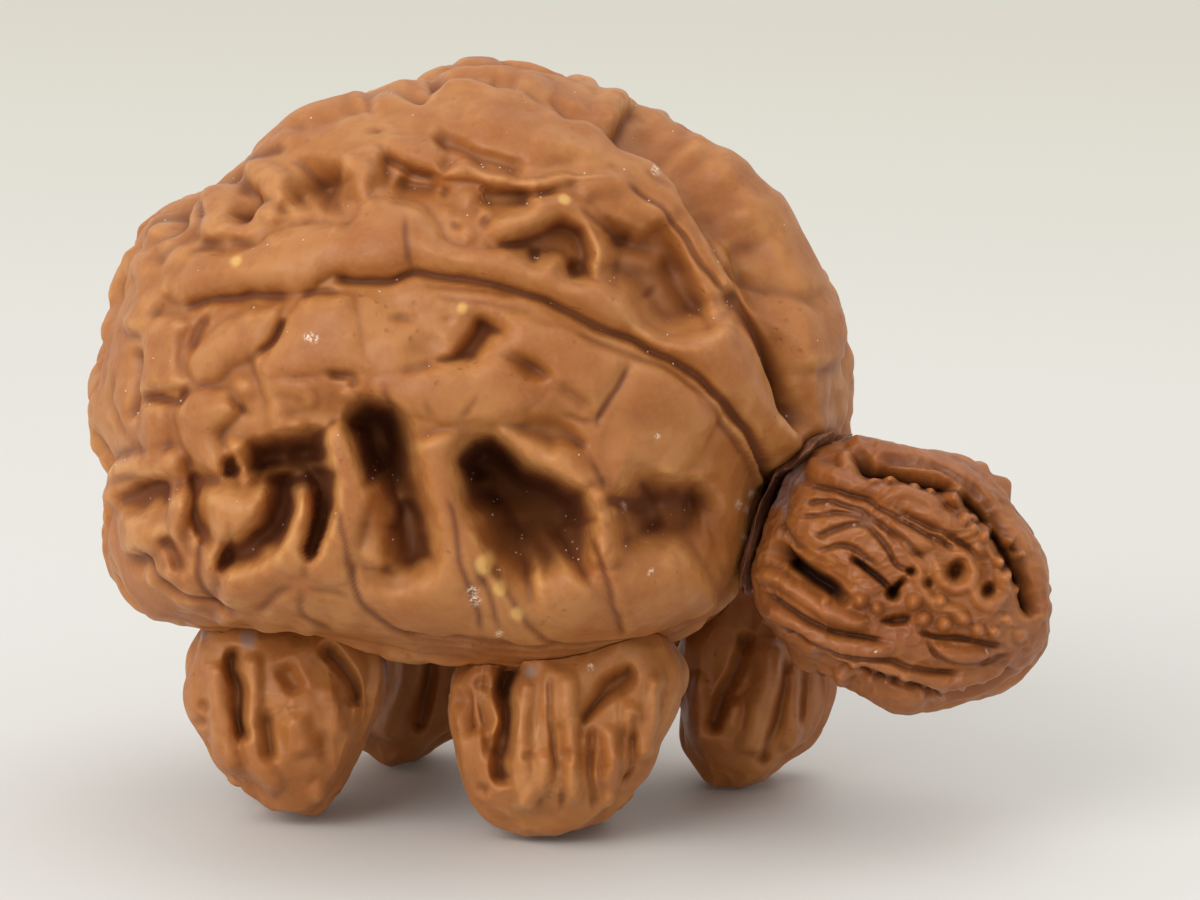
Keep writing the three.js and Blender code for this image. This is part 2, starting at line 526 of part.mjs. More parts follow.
const SHELL_FORM = {
  outline: SHELL_OUTLINE,
  toward: 0,
  halfDepth: SHELL_HALF_DEPTH,
  facets: SHELL_FACETS,
  folds: SHELL_FOLDS,
  patches: SHELL_PATCHES,
  squareness: SHELL_SQUARENESS,
  lowSquareness: SHELL_LOW_SQUARENESS,
  seams: SHELL_SEAMS,
  netSize: 7,
  netHeight: 0.8,
};
const HEAD_FORM = {
  outline: HEAD_OUTLINE,
  toward: HEAD_TOWARD,
  halfDepth: HEAD_HALF_DEPTH,
  facets: HEAD_FACETS,
  folds: HEAD_FOLDS,
  patches: HEAD_PATCHES,
  squareness: 2.1,
  lowSquareness: 2.1,
  seams: [],
  netSize: 3.2,
  netHeight: 0.3,
};
const LEG_FORM = {
  facets: LEG_FACETS,
  patches: [],
  squareness: 2.2,
  lowSquareness: 2.2,
  seams: [],
  netSize: 4,
  netHeight: 0.3,
};

const tortoise = new THREE.Group();

function addPiece(name, solid, material) {
  const geometry = toGeometry(largestBody(solid));
  geometry.computeVertexNormals();
  const mesh = new THREE.Mesh(geometry, material);
  mesh.name = name;
  tortoise.add(mesh);
}

// The glue round the place where two nuts meet lies within reach of both, a gap away from each
function glueBetween(nearOne, nearOther, clearOne, clearOther) {
  return nearOne.intersect(nearOther).subtract(clearOne).subtract(clearOther);
}

const shell = toSolid(makeNut(SHELL_FORM, 0));
const clearShell = toSolid(makeNut(SHELL_FORM, SEAT_GAP));
const nearShell = toSolid(makeNut(SHELL_FORM, GLUE_REACH));
addPiece('shell_walnut', shell, WALNUT);

const head = toSolid(makeNut(HEAD_FORM, 0)).subtract(clearShell);
const clearHead = toSolid(makeNut(HEAD_FORM, SEAT_GAP));
const nearHead = toSolid(makeNut(HEAD_FORM, GLUE_REACH));
addPiece('head_walnut', head, DARK_WALNUT);
addPiece('glue_neck', glueBetween(nearShell, nearHead, clearShell, clearHead), GLUE);

for (const [name, leg] of Object.entries(LEGS)) {
  const form = { ...LEG_FORM, ...leg, folds: LEG_FOLDS[name] };
  const hanging = makeNut(form, 0);
  const drop = lowestPoint(hanging) + FOOT_FLAT;
  const standing = toSolid(standOnFloor(hanging, drop));
  addPiece(name, standing.subtract(clearShell), WALNUT);
}

export default tortoise;
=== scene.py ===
"""A small standing tortoise made of six polished walnuts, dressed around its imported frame.

Each nut is drawn as it is seen from one eye in front of the tortoise's right side. Across (a) and
up (b) are millimetres on a sheet through the middle of the shell nut, square to the line of sight,
and toward is the way from that sheet to the eye. A nut is a rounded body with a drawn outline, and
its folds, lobes, hollows and bumps are drawn on the sheet and raised on it or sunk into it.
"""

import logging
import math
from dataclasses import dataclass, field, replace
from enum import Enum

import bmesh
import bpy
import numpy as np
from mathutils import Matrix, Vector


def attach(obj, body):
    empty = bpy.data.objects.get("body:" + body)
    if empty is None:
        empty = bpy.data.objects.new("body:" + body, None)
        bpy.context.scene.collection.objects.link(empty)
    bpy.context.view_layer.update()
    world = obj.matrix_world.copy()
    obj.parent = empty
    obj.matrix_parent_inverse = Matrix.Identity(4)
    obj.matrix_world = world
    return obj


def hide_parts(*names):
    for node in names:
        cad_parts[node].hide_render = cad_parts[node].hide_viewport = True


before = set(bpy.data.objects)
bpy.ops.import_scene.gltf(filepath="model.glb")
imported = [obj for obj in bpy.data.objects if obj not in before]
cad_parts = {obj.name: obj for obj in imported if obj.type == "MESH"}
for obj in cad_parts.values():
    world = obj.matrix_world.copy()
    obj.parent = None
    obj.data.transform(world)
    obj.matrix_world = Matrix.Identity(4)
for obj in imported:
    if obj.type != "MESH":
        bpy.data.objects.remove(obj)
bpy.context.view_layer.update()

METRES = 0.001
ROOT = "root"

logging.basicConfig(level=logging.INFO, format="%(message)s")
log = logging.getLogger("walnut_tortoise")

Pair = tuple[float, float]
Array = np.ndarray


class Edge(Enum):
    """How a patch leaves the surface: over a soft slope, as a pillow, or scooped out from above."""

    SOFT = "soft"
    ROUND = "round"
    SCOOP = "scoop"


class Tint(Enum):
    """A colour that departs from the nut's own, held as a mesh attribute; the line is partly painted shade
    and the yellow tint is painted highlight.
    """

    # Dark crack lines together with painted shade in the creases
    LINE = "line"
    # Painted highlight, a yellowish glint
    PAINTED_HIGHLIGHT = "painted_highlight"
    CRUST = "crust"
    GREY = "grey"


@dataclass(frozen=True)
class Fold:
    """A swelling or furrow along a path.

    Attributes:
        height: rise over the surface in mm, negative for a furrow.
        width: half width in mm on the path's left side, and on both sides if far is not set.
        path: points on the sheet in mm.
        far: half width in mm on the path's right side.
        shift: distance in mm by which the fold lies to the left of its path.
        line: strength of the dark line along it, a dark crack together with painted shade in the furrow, from
            0 to 1.
    """

    height: float
    width: float
    path: tuple[Pair, ...]
    far: float = 0.0
    shift: float = 0.0
    line: float = 0.0


@dataclass(frozen=True)
class Patch:
    """A closed outline that is raised as a lobe or sunk as a hollow.

    Attributes:
        height: rise in mm, negative for a hollow.
        wall: width in mm over which the height is reached.
        outline: points on the sheet in mm.
        edge: how it leaves the surface.
    """

    height: float
    wall: float
    outline: tuple[Pair, ...]
    edge: Edge = Edge.SOFT


@dataclass(frozen=True)
class Bump:
    """A round bump, negative for a dent, at a place on the sheet; sizes in mm."""

    across: float
    up: float
    height: float
    radius: float


@dataclass(frozen=True)
class Spot:
    """A round spot of another tint, or of painted highlight, at a place on the sheet; sizes in mm."""

    across: float
    up: float
    radius: float
    tint: Tint


@dataclass(frozen=True)
class Eye:
    """The eye that the nuts are drawn from.

    Attributes:
        azimuth: degrees from straight at the tortoise's right side toward its head.
        elevation: degrees above level.
        distance: mm from the sheet.
        across: mm on the sheet, right of the shell nut's middle, where the eye looks.
        up: mm on the sheet, above the shell nut's middle, where the eye looks.
        middle: the shell nut's middle in mm, in the frame.
    """

    azimuth: float = 18.0
    elevation: float = 10.0
    distance: float = 330.0
    across: float = 7.8
    up: float = -5.28
    middle: tuple[float, float, float] = (-6.35, 0.03, 26.8)

    def axes(self) -> tuple[Array, Array, Array]:
        """Returns the unit vectors right, up and toward."""
        turn = math.radians(self.azimuth)
        lift = math.radians(self.elevation)
        right = np.array((math.cos(turn), math.sin(turn), 0.0))
        toward = np.array((
            math.sin(turn) * math.cos(lift),
            -math.cos(turn) * math.cos(lift),
            math.sin(lift),
        ))
        return right, np.cross(toward, right), toward

    def place(self, sheet: Array) -> Array:
        """Turns places on the sheet into points of the frame.

        Args:
            sheet: rows of across, up and toward in mm.

        Returns:
            Rows of x, y and z in mm.
        """
        right, up, toward = self.axes()
        scale = 1.0 - sheet[:, 2] / self.distance
        across = self.across + (sheet[:, 0] - self.across) * scale
        high = self.up + (sheet[:, 1] - self.up) * scale
        middle = np.array(self.middle)
        return middle + np.outer(across, right) + np.outer(high, up) + np.outer(sheet[:, 2], toward)


EYE = Eye()


def smooth(low: float, high: float, value: Array) -> Array:
    """Smooth step of value from low to high."""
    share = np.clip((value - low) / (high - low), 0.0, 1.0)
    return share * share * (3.0 - 2.0 * share)


def rounded(points: tuple[Pair, ...], closed: bool, steps: int = 5) -> Array:
    """Runs a smooth curve through points.

    Args:
        points: points on the sheet.
        closed: whether the curve joins its own start.
        steps: pieces between two points.

    Returns:
        Rows of points along the curve.
    """
    knots = np.array(points, dtype=float)
    count = len(knots)
    if count < 3:
        return knots
    if closed:
        before, after, beyond = np.roll(knots, 1, 0), np.roll(knots, -1, 0), np.roll(knots, -2, 0)
        start, end = knots, after
    else:
        start, end = knots[:-1], knots[1:]
        before = np.vstack((2 * knots[0] - knots[1], knots[:-2]))
        beyond = np.vstack((knots[2:], 2 * knots[-1] - knots[-2]))
    curve = []
    for share in np.arange(steps) / steps:
        square, cube = share ** 2, share ** 3
        curve.append(0.5 * (
            2 * start
            + (end - before) * share
            + (2 * before - 5 * start + 4 * end - beyond) * square
            + (3 * start - before - 3 * end + beyond) * cube
        ))
    line = np.stack(curve, 1).reshape(-1, 2)
    return line if closed else np.vstack((line, knots[-1:]))


def from_path(places: Array, line: Array, closed: bool) -> tuple[Array, Array]:
    """Measures places against a line of straight pieces.

    Args:
        places: rows of places on the sheet.
        line: rows of the line's points.
        closed: whether the line joins its own start.

    Returns:
        Signed distance, positive on the line's left, and distance in mm along it from its nearer end.
    """
    starts = line if closed else line[:-1]
    ends = np.roll(line, -1, 0) if closed else line[1:]
    best = np.full(len(places), np.inf)
    side = np.ones(len(places))
    along = np.zeros(len(places))
    run = 0.0
    for start, end in zip(starts, ends):
        step = end - start
        length = math.hypot(*step)
        if length < 1e-9:
            continue
        away = places - start
        share = np.clip((away @ step) / length ** 2, 0.0, 1.0)
        gap = away - np.outer(share, step)
        distance = np.hypot(gap[:, 0], gap[:, 1])
        nearer = distance < best
        best = np.where(nearer, distance, best)
        turn = step[0] * away[:, 1] - step[1] * away[:, 0]
        side = np.where(nearer, np.sign(turn), side)
        along = np.where(nearer, run + share * length, along)
        run += length
    return best * np.where(side == 0, 1.0, side), np.minimum(along, run - along)


def inside(places: Array, line: Array) -> Array:
    """Tells which places lie inside a closed line."""
    result = np.zeros(len(places), dtype=bool)
    across, up = places[:, 0], places[:, 1]
    for (x0, y0), (x1, y1) in zip(line, np.roll(line, 1, 0)):
        if y0 == y1:
            continue
        crosses = ((y0 > up) != (y1 > up)) & (across < (x1 - x0) * (up - y0) / (y1 - y0) + x0)
        result ^= crosses
    return result


@dataclass
class Drawing:
    """Everything that is drawn on one nut, and its height at any place on the sheet."""

    SHOULDER = 0.3
    PILLOW_REACH = 1.8
    PILLOW_RISE = 1.7
    RIDGE_GAIN = 1.5
    RIDGE_WIDTH = 1.6
    FURROW_GAIN = 0.8
    BANK_REACH = 3.2
    BANK_SHARE = 0.32

    folds: tuple[Fold, ...] = ()
    patches: tuple[Patch, ...] = ()
    bumps: tuple[Bump, ...] = ()
    spots: tuple[Spot, ...] = ()

    def measure(self, places: Array) -> tuple[Array, dict[Tint, Array]]:
        """Adds up what is drawn.

        Args:
            places: rows of places on the sheet in mm.

        Returns:
            Heights in mm, and the strength of each tint from 0 to 1.
        """
        heights = np.zeros(len(places))
        tints = {tint: np.zeros(len(places)) for tint in Tint}
        for fold in self.folds:
            self._add_fold(fold, places, heights, tints[Tint.LINE])
        for patch in self.patches:
            self._add_patch(patch, places, heights)
        for bump in self.bumps:
            share = np.hypot(places[:, 0] - bump.across, places[:, 1] - bump.up) / bump.radius
            heights += bump.height * np.clip(1 - share ** 2, 0, 1) ** 2
        for spot in self.spots:
            share = np.hypot(places[:, 0] - spot.across, places[:, 1] - spot.up) / spot.radius
            tints[spot.tint] = np.maximum(tints[spot.tint], smooth(1.0, 0.4, share))
        return heights, tints

    @staticmethod
    def _near(places: Array, line: Array, margin: float) -> Array:
        """Rows of the places that lie in a line's box, widened by a margin."""
        low, high = line.min(0) - margin, line.max(0) + margin
        return np.flatnonzero(((places >= low) & (places <= high)).all(1))

    def _add_fold(self, fold: Fold, places: Array, heights: Array, lines: Array) -> None:
        """Adds a fold's height and its dark line, a dark crack together with painted shade, tapered over its
        ends.
        """
        far = fold.far or fold.width
        raised = fold.height > 0
        widen = self.RIDGE_WIDTH if raised else 1.0
        line = rounded(fold.path, closed=False)
        rows = self._near(places, line, self.BANK_REACH * max(fold.width, far) + abs(fold.shift))
        if not len(rows):
            return
        distance, along = from_path(places[rows], line, closed=False)
        off = distance - fold.shift
        share = np.where(off > 0, off / fold.width, -off / far) / widen
        taper = smooth(-0.1, 0.9, along)
        core = np.clip(1 - share ** 2, 0, 1) ** 2
        bank = np.clip(1 - (share / self.BANK_REACH) ** 2, 0, 1) ** 2
        if raised:
            shape = self.RIDGE_GAIN * core
        else:
            shape = self.FURROW_GAIN * (core + self.BANK_SHARE * bank)
        heights[rows] += fold.height * shape * taper
        if fold.line:
            lines[rows] = np.maximum(lines[rows], fold.line * np.exp(-((off / 0.2) ** 2)) * taper)

    def _add_patch(self, patch: Patch, places: Array, heights: Array) -> None:
        """Adds a patch's height."""
        line = rounded(patch.outline, closed=True)
        reach = min(1.3 * patch.wall, 2.0)
        rows = self._near(places, line, max(patch.wall, reach))
        if not len(rows):
            return
        distance, _ = from_path(places[rows], line, closed=True)
        depth = np.abs(distance) * np.where(inside(places[rows], line), 1.0, -1.0)
        if patch.edge is Edge.SCOOP:
            low, high = line[:, 1].min(), line[:, 1].max()
            down = (high - places[rows, 1]) / (high - low)
            wall = patch.wall * (1.1 + 2.2 * smooth(0.2, 1.0, down))
            core = smooth(-0.35, 0.85, depth / wall)
            share = core * (1.1 - 0.8 * np.clip(down, 0, 1)) + 0.14 * smooth(-reach, 0.6 * reach, depth)
        elif patch.edge is Edge.SOFT:
            core = smooth(-0.3 * patch.wall, 0.8 * patch.wall, depth)
            share = (1 - self.SHOULDER) * core + self.SHOULDER * smooth(-reach, 0.6 * reach, depth)
        else:
            wide = np.clip(depth / (self.PILLOW_REACH * patch.wall), 0, 1)
            share = self.PILLOW_RISE * (1 - (1 - wide) ** 2.2)
        heights[rows] += patch.height * share


def merged(*drawings: Drawing) -> Drawing:
    """Puts several drawings together as one."""
    return Drawing(
        folds=tuple(fold for drawing in drawings for fold in drawing.folds),
        patches=tuple(patch for drawing in drawings for patch in drawing.patches),
        bumps=tuple(bump for drawing in drawings for bump in drawing.bumps),
        spots=tuple(spot for drawing in drawings for spot in drawing.spots),
    )


# The shell nut's side seam, with the lip above it
SIDE_SEAM = Drawing(
    folds=(
        Fold(-0.55, 0.45, ((-17.2, 3.2), (-16, 3.6), (-15, 3.8), (-14, 3.85), (-13, 3.95), (-12, 3.9),
            (-10.5, 3.85)), line=0.8),
        Fold(-0.3, 0.5, ((-15.5, 3.5), (-14, 3.55), (-12.5, 3.55))),
        Fold(-0.4, 0.35, ((-10.2, 3.85), (-9.4, 4.15), (-8.5, 4.25), (-7.6, 4.15)), line=0.6),
        Fold(-0.7, 0.42, ((-8.3, 5.1), (-7, 4.9), (-5, 4.85), (-3.4, 5.4), (-2, 5.15), (0, 4.9), (2, 4.5),
            (4, 3.85), (5.5, 3.2), (7, 2.35), (9, 1.6), (10, 1.1), (11.8, 0.15), (13.5, -0.8), (15, -2.3),
            (16, -3.4), (17, -4.8), (17.6, -6.5), (17.7, -7.2)), line=1.0),
        Fold(-0.3, 0.25, ((6, 1.7), (8, 1.1), (9.7, 0.3), (11, 0), (12, -0.6), (13, -1.3), (14, -2.1),
            (14.7, -3), (15.5, -4.3), (16.7, -5.9), (17.1, -7.5)), line=0.5),
        Fold(0.3, 0.3, ((13.5, -1.5), (14.5, -2.5), (15.5, -3.7), (16.4, -4.8), (17.1, -6), (17.4, -7.2),
            (17.5, -8))),
        Fold(-0.15, 0.18, ((-3, 4.7), (0, 4.4), (3, 3.9)), line=0.4),
        Fold(-0.15, 0.18, ((-2.2, 4), (0, 3.6), (2, 3.3), (4, 2.9)), line=0.3),
        Fold(-0.25, 0.4, ((-6, 8.8), (-5, 8.7))),
        Fold(-0.25, 0.25, ((-3.8, 8.7), (-3.7, 6.8), (-3.6, 6), (-3.4, 5.5)), line=0.9),
        Fold(-0.15, 0.2, ((3.2, 5.4), (3.2, 4.9)), line=0.6),
    ),
    patches=(
        Patch(0.9, 1.2, ((-17.2, 3.5), (-18.3, 4.2), (-18.1, 5), (-17.5, 5.8), (-16.7, 6.5), (-15.5, 6.7),
            (-14, 6.7), (-12.5, 7.1), (-12, 7.6), (-11, 8), (-10, 8.25), (-8, 8.5), (-7.3, 8.3), (-6.9, 9),
            (-6.5, 9.6), (-6, 9.95), (-5, 9.97), (-4, 9.8), (-3.3, 9.7), (-2.7, 9.4), (-2.2, 8.8),
            (-1.7, 8), (-1, 7), (1, 6.85), (2, 6.8), (3, 6.4), (3.9, 6), (5.1, 6.1), (5.4, 5.5), (6, 5),
            (8, 4.85), (9, 4.4), (9.6, 3.8), (10.3, 2.6), (11, 2), (12, 1.55), (13.6, 1.9), (14.6, 2.2),
            (15.4, 3), (15.9, 3.2), (16.6, 2.2), (17.5, 0.9), (18.2, -0.6), (18.9, -2), (19.5, -3.6),
            (19.9, -5), (19.5, -5.6), (18.5, -6.3), (18, -6.5), (17.6, -6.3), (17, -4.6), (16, -3.2),
            (15, -2.1), (13.5, -0.6), (11.8, 0.35), (10, 1.3), (9, 1.8), (7, 2.6), (5.5, 3.4), (4, 4.1),
            (2, 4.7), (0, 5.1), (-2, 5.35), (-3.4, 5.6), (-5, 5.1), (-7, 5.1), (-8.3, 5.2), (-9.4, 4.4),
            (-10.5, 4.05), (-12, 4.1), (-13, 4.15), (-14, 4.05), (-15, 4), (-16, 3.8)), Edge.ROUND),
    ),
    spots=(
        # The yellow spots are painted highlights
        Spot(-0.5, 3.2, 0.45, Tint.PAINTED_HIGHLIGHT), Spot(-13.8, 6, 0.5, Tint.PAINTED_HIGHLIGHT),
    ),
)

# Its upper seam, a rim that stands over the back
UPPER_RIM = (
    (-13.5, 11.3), (-12, 12.1), (-11, 12.7), (-10, 13), (-9, 13.2), (-8, 13.5), (-7, 13.9), (-5.6, 14.2),
    (-5.2, 15), (-4, 15.1), (-2.8, 15.05), (-2, 15.6), (-1.3, 16.1), (-0.3, 16.2), (0.6, 16.1), (1.5, 15.85),
    (2.5, 15.7), (3.5, 15.3), (4.4, 15), (5.5, 14.2), (7, 13.9), (7.9, 13.2), (8.8, 12.4), (10, 12),
    (11, 11.6), (12, 10.7), (12.6, 9.4), (13.7, 8), (14.5, 6.2), (15, 5.4), (15.9, 4),
)
UPPER_SEAM = Drawing(
    folds=(
        Fold(0.6, 0.5, UPPER_RIM, far=1.6),
        Fold(-0.5, 0.8, UPPER_RIM, shift=0.7),
        Fold(-0.4, 0.3, ((9.2, 10.7), (10, 10), (11, 9.5), (11.7, 8.9), (12.3, 8.2), (13, 7.3), (13.5, 6.4),
            (14, 5.6), (14.6, 5), (15.4, 4)), line=0.9),
        Fold(-0.2, 0.25, ((8.2, 12), (8.7, 11.2)), line=0.6),
        Fold(-0.15, 0.22, ((10.2, 11.5), (11.2, 10.8), (12, 10.3)), line=0.5),
        Fold(0.35, 0.6, ((6.2, 10.2), (7, 10.5), (8, 10.6), (9, 10.4), (10, 9.6), (11, 8.9), (12, 8.2),
            (12.8, 7.3), (13.4, 6.2), (14, 4.6), (14.8, 3), (15, 1.8), (14.8, 0.9))),
        Fold(-0.25, 0.6, ((15.2, 1.8), (16.2, 0.2))),
    ),
    # The crust spot is the surface's own; the yellow spot is a painted highlight
    spots=(Spot(11, 11.4, 0.35, Tint.CRUST), Spot(5.6, 9.6, 0.5, Tint.PAINTED_HIGHLIGHT)),
)

# The lobes and hollows between the two seams
BETWEEN_SEAMS = Drawing(
    folds=(
        Fold(-0.6, 0.45, ((-5.4, 12.6), (-4.5, 12), (-3.5, 11.5), (-2.5, 11.1), (-1.8, 10.9)), line=0.6),
        Fold(-0.45, 0.35, ((0.5, 10.5), (1.5, 10.1), (2.5, 10.05), (4, 10.1), (5.5, 10.2)), line=0.6),
        Fold(-0.8, 0.8, ((-2.2, 13.8), (-1.5, 13.3), (-0.3, 12.8), (0.5, 12.3), (1.5, 12), (2.5, 11.6),
            (3.3, 11.3)), line=0.5),
        Fold(-0.4, 0.35, ((-6.3, 13.4), (-4.7, 13.7)), line=0.5),
        Fold(0.4, 0.6, ((-6, 13), (-5.9, 11.6), (-5.7, 10.5))),
        Fold(-0.5, 0.5, ((0.5, 9.8), (2, 9.6), (3.8, 9.7))),
        Fold(0.7, 0.75, ((1, 7.4), (2, 7.9), (3, 8.3), (4, 8.9), (4.8, 9.2), (5.5, 9.2), (6.3, 8.9),
            (7, 8.4), (7.5, 7.6), (7.7, 7), (7.9, 6.2), (7.7, 5.3), (7.5, 4.9))),
        Fold(0.35, 0.6, ((8, 6.3), (10, 6.1), (12, 6.2))),
        Fold(-0.6, 0.9, ((8.7, 7.9), (9.5, 6.8))),
        Fold(-0.6, 0.9, ((10.5, 4.5), (11, 3.8))),
    ),
    patches=(
        Patch(0.45, 0.7, ((-5.6, 13.1), (-4.6, 13.4), (-3.5, 13.55), (-2.5, 13.5), (-1.8, 13.2),
            (-1.4, 12.6), (-1.3, 12.2), (-1.6, 11.7), (-1.8, 11.2), (-2.5, 11.3), (-3.3, 11.5), (-4.2, 12),
            (-5, 12.5)), Edge.ROUND),
        Patch(0.5, 0.45, ((-1.7, 11.3), (-1.2, 11.8), (-0.7, 12.2), (-0.2, 12.3), (0.3, 12.1), (0.8, 11.7),
            (1.5, 11.4), (2.2, 11.2), (3.2, 11.05), (4, 11.1), (5, 11.3), (5.8, 11.35), (6.5, 11.2),
            (8.7, 10.85), (6.5, 10.8), (5.5, 10.4), (4.5, 10.25), (2.5, 10.2), (1.5, 10.4), (0.5, 10.75),
            (-0.5, 10.9), (-1.6, 11)), Edge.ROUND),
        Patch(0.35, 1.2, ((-1, 13.6), (0, 15.4), (2, 15.2), (4, 14.6), (5.5, 13.8), (6.8, 13.2),
            (7.4, 12.2), (6, 11.9), (4, 11.8), (2, 12.4), (0.5, 12.9)), Edge.ROUND),
        Patch(-1.7, 1.3, ((-10.3, 12), (-9, 12.1), (-8, 12), (-7.2, 11.6), (-6.5, 11), (-6.3, 10.3),
            (-6.6, 9.8), (-7.2, 9.2), (-7.6, 8.7), (-8.4, 8.8), (-9, 9.3), (-9.6, 10.2), (-10.1, 11.2))),
        Patch(-0.9, 0.9, ((-5.3, 12.3), (-4, 11.5), (-2.5, 11), (-1.8, 10.6), (-2.2, 10), (-3, 9.9),
            (-4, 9.9), (-5, 10.1), (-5.5, 10.8))),
        Patch(-1.9, 0.9, ((1.8, 7.1), (3.2, 7.6), (4.5, 8.3), (5.5, 8.6), (6.6, 8.2), (7.3, 7.2), (7.5, 6),
            (7.3, 5.1), (6.2, 4.95), (5.6, 5.4), (5.2, 6.1), (4.5, 6.1), (3.8, 6.1), (3, 6.5), (2.2, 6.8))),
        Patch(-2.4, 1.6, ((6.9, 9.1), (8, 8.7), (9, 8.4), (10, 8), (11, 7.5), (12, 6.8), (12.8, 6),
            (13.2, 5.2), (13.6, 4.4), (14, 3.5), (14.2, 2.6), (13.5, 2.2), (12, 1.8), (11, 2.1),
            (10.3, 2.8), (9.8, 3.6), (9.2, 4.4), (8.3, 4.9), (7.7, 5.5), (7.9, 6.5), (7.7, 7.3),
            (7.3, 8.2))),
    ),
    bumps=(
        Bump(-0.2, 9.8, 0.4, 0.9), Bump(0.9, 9, 0.35, 0.7), Bump(-0.3, 7.6, 0.3, 0.8),
        Bump(-1.5, 8.9, 0.3, 0.7), Bump(1, 8.4, -0.4, 0.6), Bump(-0.8, 8.1, -0.4, 0.5),
        Bump(-1.5, 10.2, -0.4, 0.5), Bump(3.8, 6.4, -0.5, 0.7), Bump(6.3, 5.6, -0.6, 0.8),
    ),
)

# The upper left flank
UPPER_LEFT = Drawing(
    folds=(
        Fold(0.5, 0.9, ((-19.2, 7.4), (-18.5, 8.2), (-17.8, 9.1))),
        Fold(-0.45, 0.5, ((-17, 9.6), (-17.2, 8.5), (-18, 7.3), (-18.8, 6.8)), line=0.5),
        Fold(0.5, 0.55, ((-16.9, 9.8), (-16.5, 8.5), (-17.5, 7), (-18.5, 6.3))),
        Fold(-0.8, 0.6, ((-15.4, 9.2), (-16.5, 7.5), (-17.5, 6.8), (-18.3, 6), (-19, 5.8)), line=0.5),
        Fold(0.6, 0.6, ((-14.9, 10.5), (-15, 9.5), (-14.9, 8.4), (-15.5, 8), (-16.2, 7.7), (-17, 7),
            (-17.8, 6.3), (-18.6, 5.8), (-19, 5.2), (-19.3, 4), (-19.6, 3.1), (-20, 2.3), (-20.2, 1.6))),
        Fold(0.5, 0.6, ((-15.8, 8), (-14, 8), (-13, 8.1), (-12, 8.5), (-11, 8.9))),
        Fold(0.4, 0.4, ((-16.5, 6.6), (-17.3, 6.1), (-17.9, 5.4), (-18.2, 4.6), (-18.5, 4), (-19, 3.4),
            (-19.6, 2.6), (-20.1, 1.6))),
        Fold(0.4, 0.5, ((-12.6, 12.2), (-13, 11.2), (-13.3, 10.6), (-14, 9.9), (-14.4, 9.2), (-14.6, 8.8))),
        Fold(-0.35, 0.5, ((-14.5, 7.2), (-12.6, 7.15))),
        Fold(-0.35, 0.5, ((-12, 8), (-10.5, 8.4), (-9, 8.65))),
        Fold(0.3, 0.5, ((-5.5, 16), (-4.2, 16.5), (-3.6, 16))),
        Fold(-0.4, 0.5, ((-4.5, 15.5), (-3, 15.6), (-2, 15.9))),
        Fold(-0.3, 0.5, ((1, 16.8), (2, 16.8))),
        Fold(0.35, 0.5, ((2.5, 16.2), (3.5, 16.5), (4.5, 16), (5, 15.4))),
        Fold(-0.35, 0.4, ((3.5, 15.7), (5, 15))),
    ),
    patches=(
        Patch(-0.9, 0.6, ((-13, 10), (-12.2, 10), (-11.8, 9.6), (-12.6, 9), (-13.4, 8.6), (-13.9, 8.8),
            (-13.6, 9.3))),
    ),
    bumps=(Bump(-11, 9.2, -0.3, 0.8), Bump(-10, 13.5, -0.3, 0.8), Bump(-7, 14.7, -0.3, 0.8)),
)

# The upper right flank, over the head
UPPER_RIGHT_RIM = (
    (14.8, 12), (15.6, 11.3), (16.3, 10.9), (17.4, 9.8), (18.3, 8.5), (18.8, 7.4), (19.3, 6.4), (19.8, 5.6),
)
UPPER_RIGHT = Drawing(
    folds=(
        Fold(0.6, 0.8, ((14, 12.4), (15, 11.4), (16, 10.6), (17, 9.6), (18, 8.5), (18.6, 7.2), (19.2, 6.1),
            (19.6, 5.2), (20.3, 4))),
        Fold(-0.5, 0.6, UPPER_RIGHT_RIM, shift=0.7),
        Fold(-0.35, 0.8, ((17, 8), (17.8, 6.5))),
        Fold(0.3, 0.6, ((16, 8), (16.1, 5.5))),
        Fold(-0.35, 1.2, ((15, 5.8), (16, 5.3), (17, 4.9), (18, 4.6), (19, 4.1), (20, 3.4), (20.6, 2.9)),
            far=0.4, line=0.4),
        Fold(-1.5, 0.9, ((15.4, 4.6), (15.9, 3.8), (16.3, 3), (17, 2.2), (17.8, 1), (18.6, -0.5),
            (19.2, -1.8), (19.7, -3), (20.2, -4.2)), line=0.5),
    ),
    patches=(
        Patch(0.5, 1.8, ((16.6, 3.4), (18.4, 4), (20.4, 2.8), (21.6, 0.6), (21.9, -2.4), (21.2, -4.6),
            (20.4, -4.4), (19.6, -2.6), (18.6, -0.2), (17.4, 1.8)), Edge.ROUND),
    ),
    bumps=(Bump(9, 13.5, -0.35, 1.2), Bump(14.5, 8.3, -0.4, 1.5)),
)

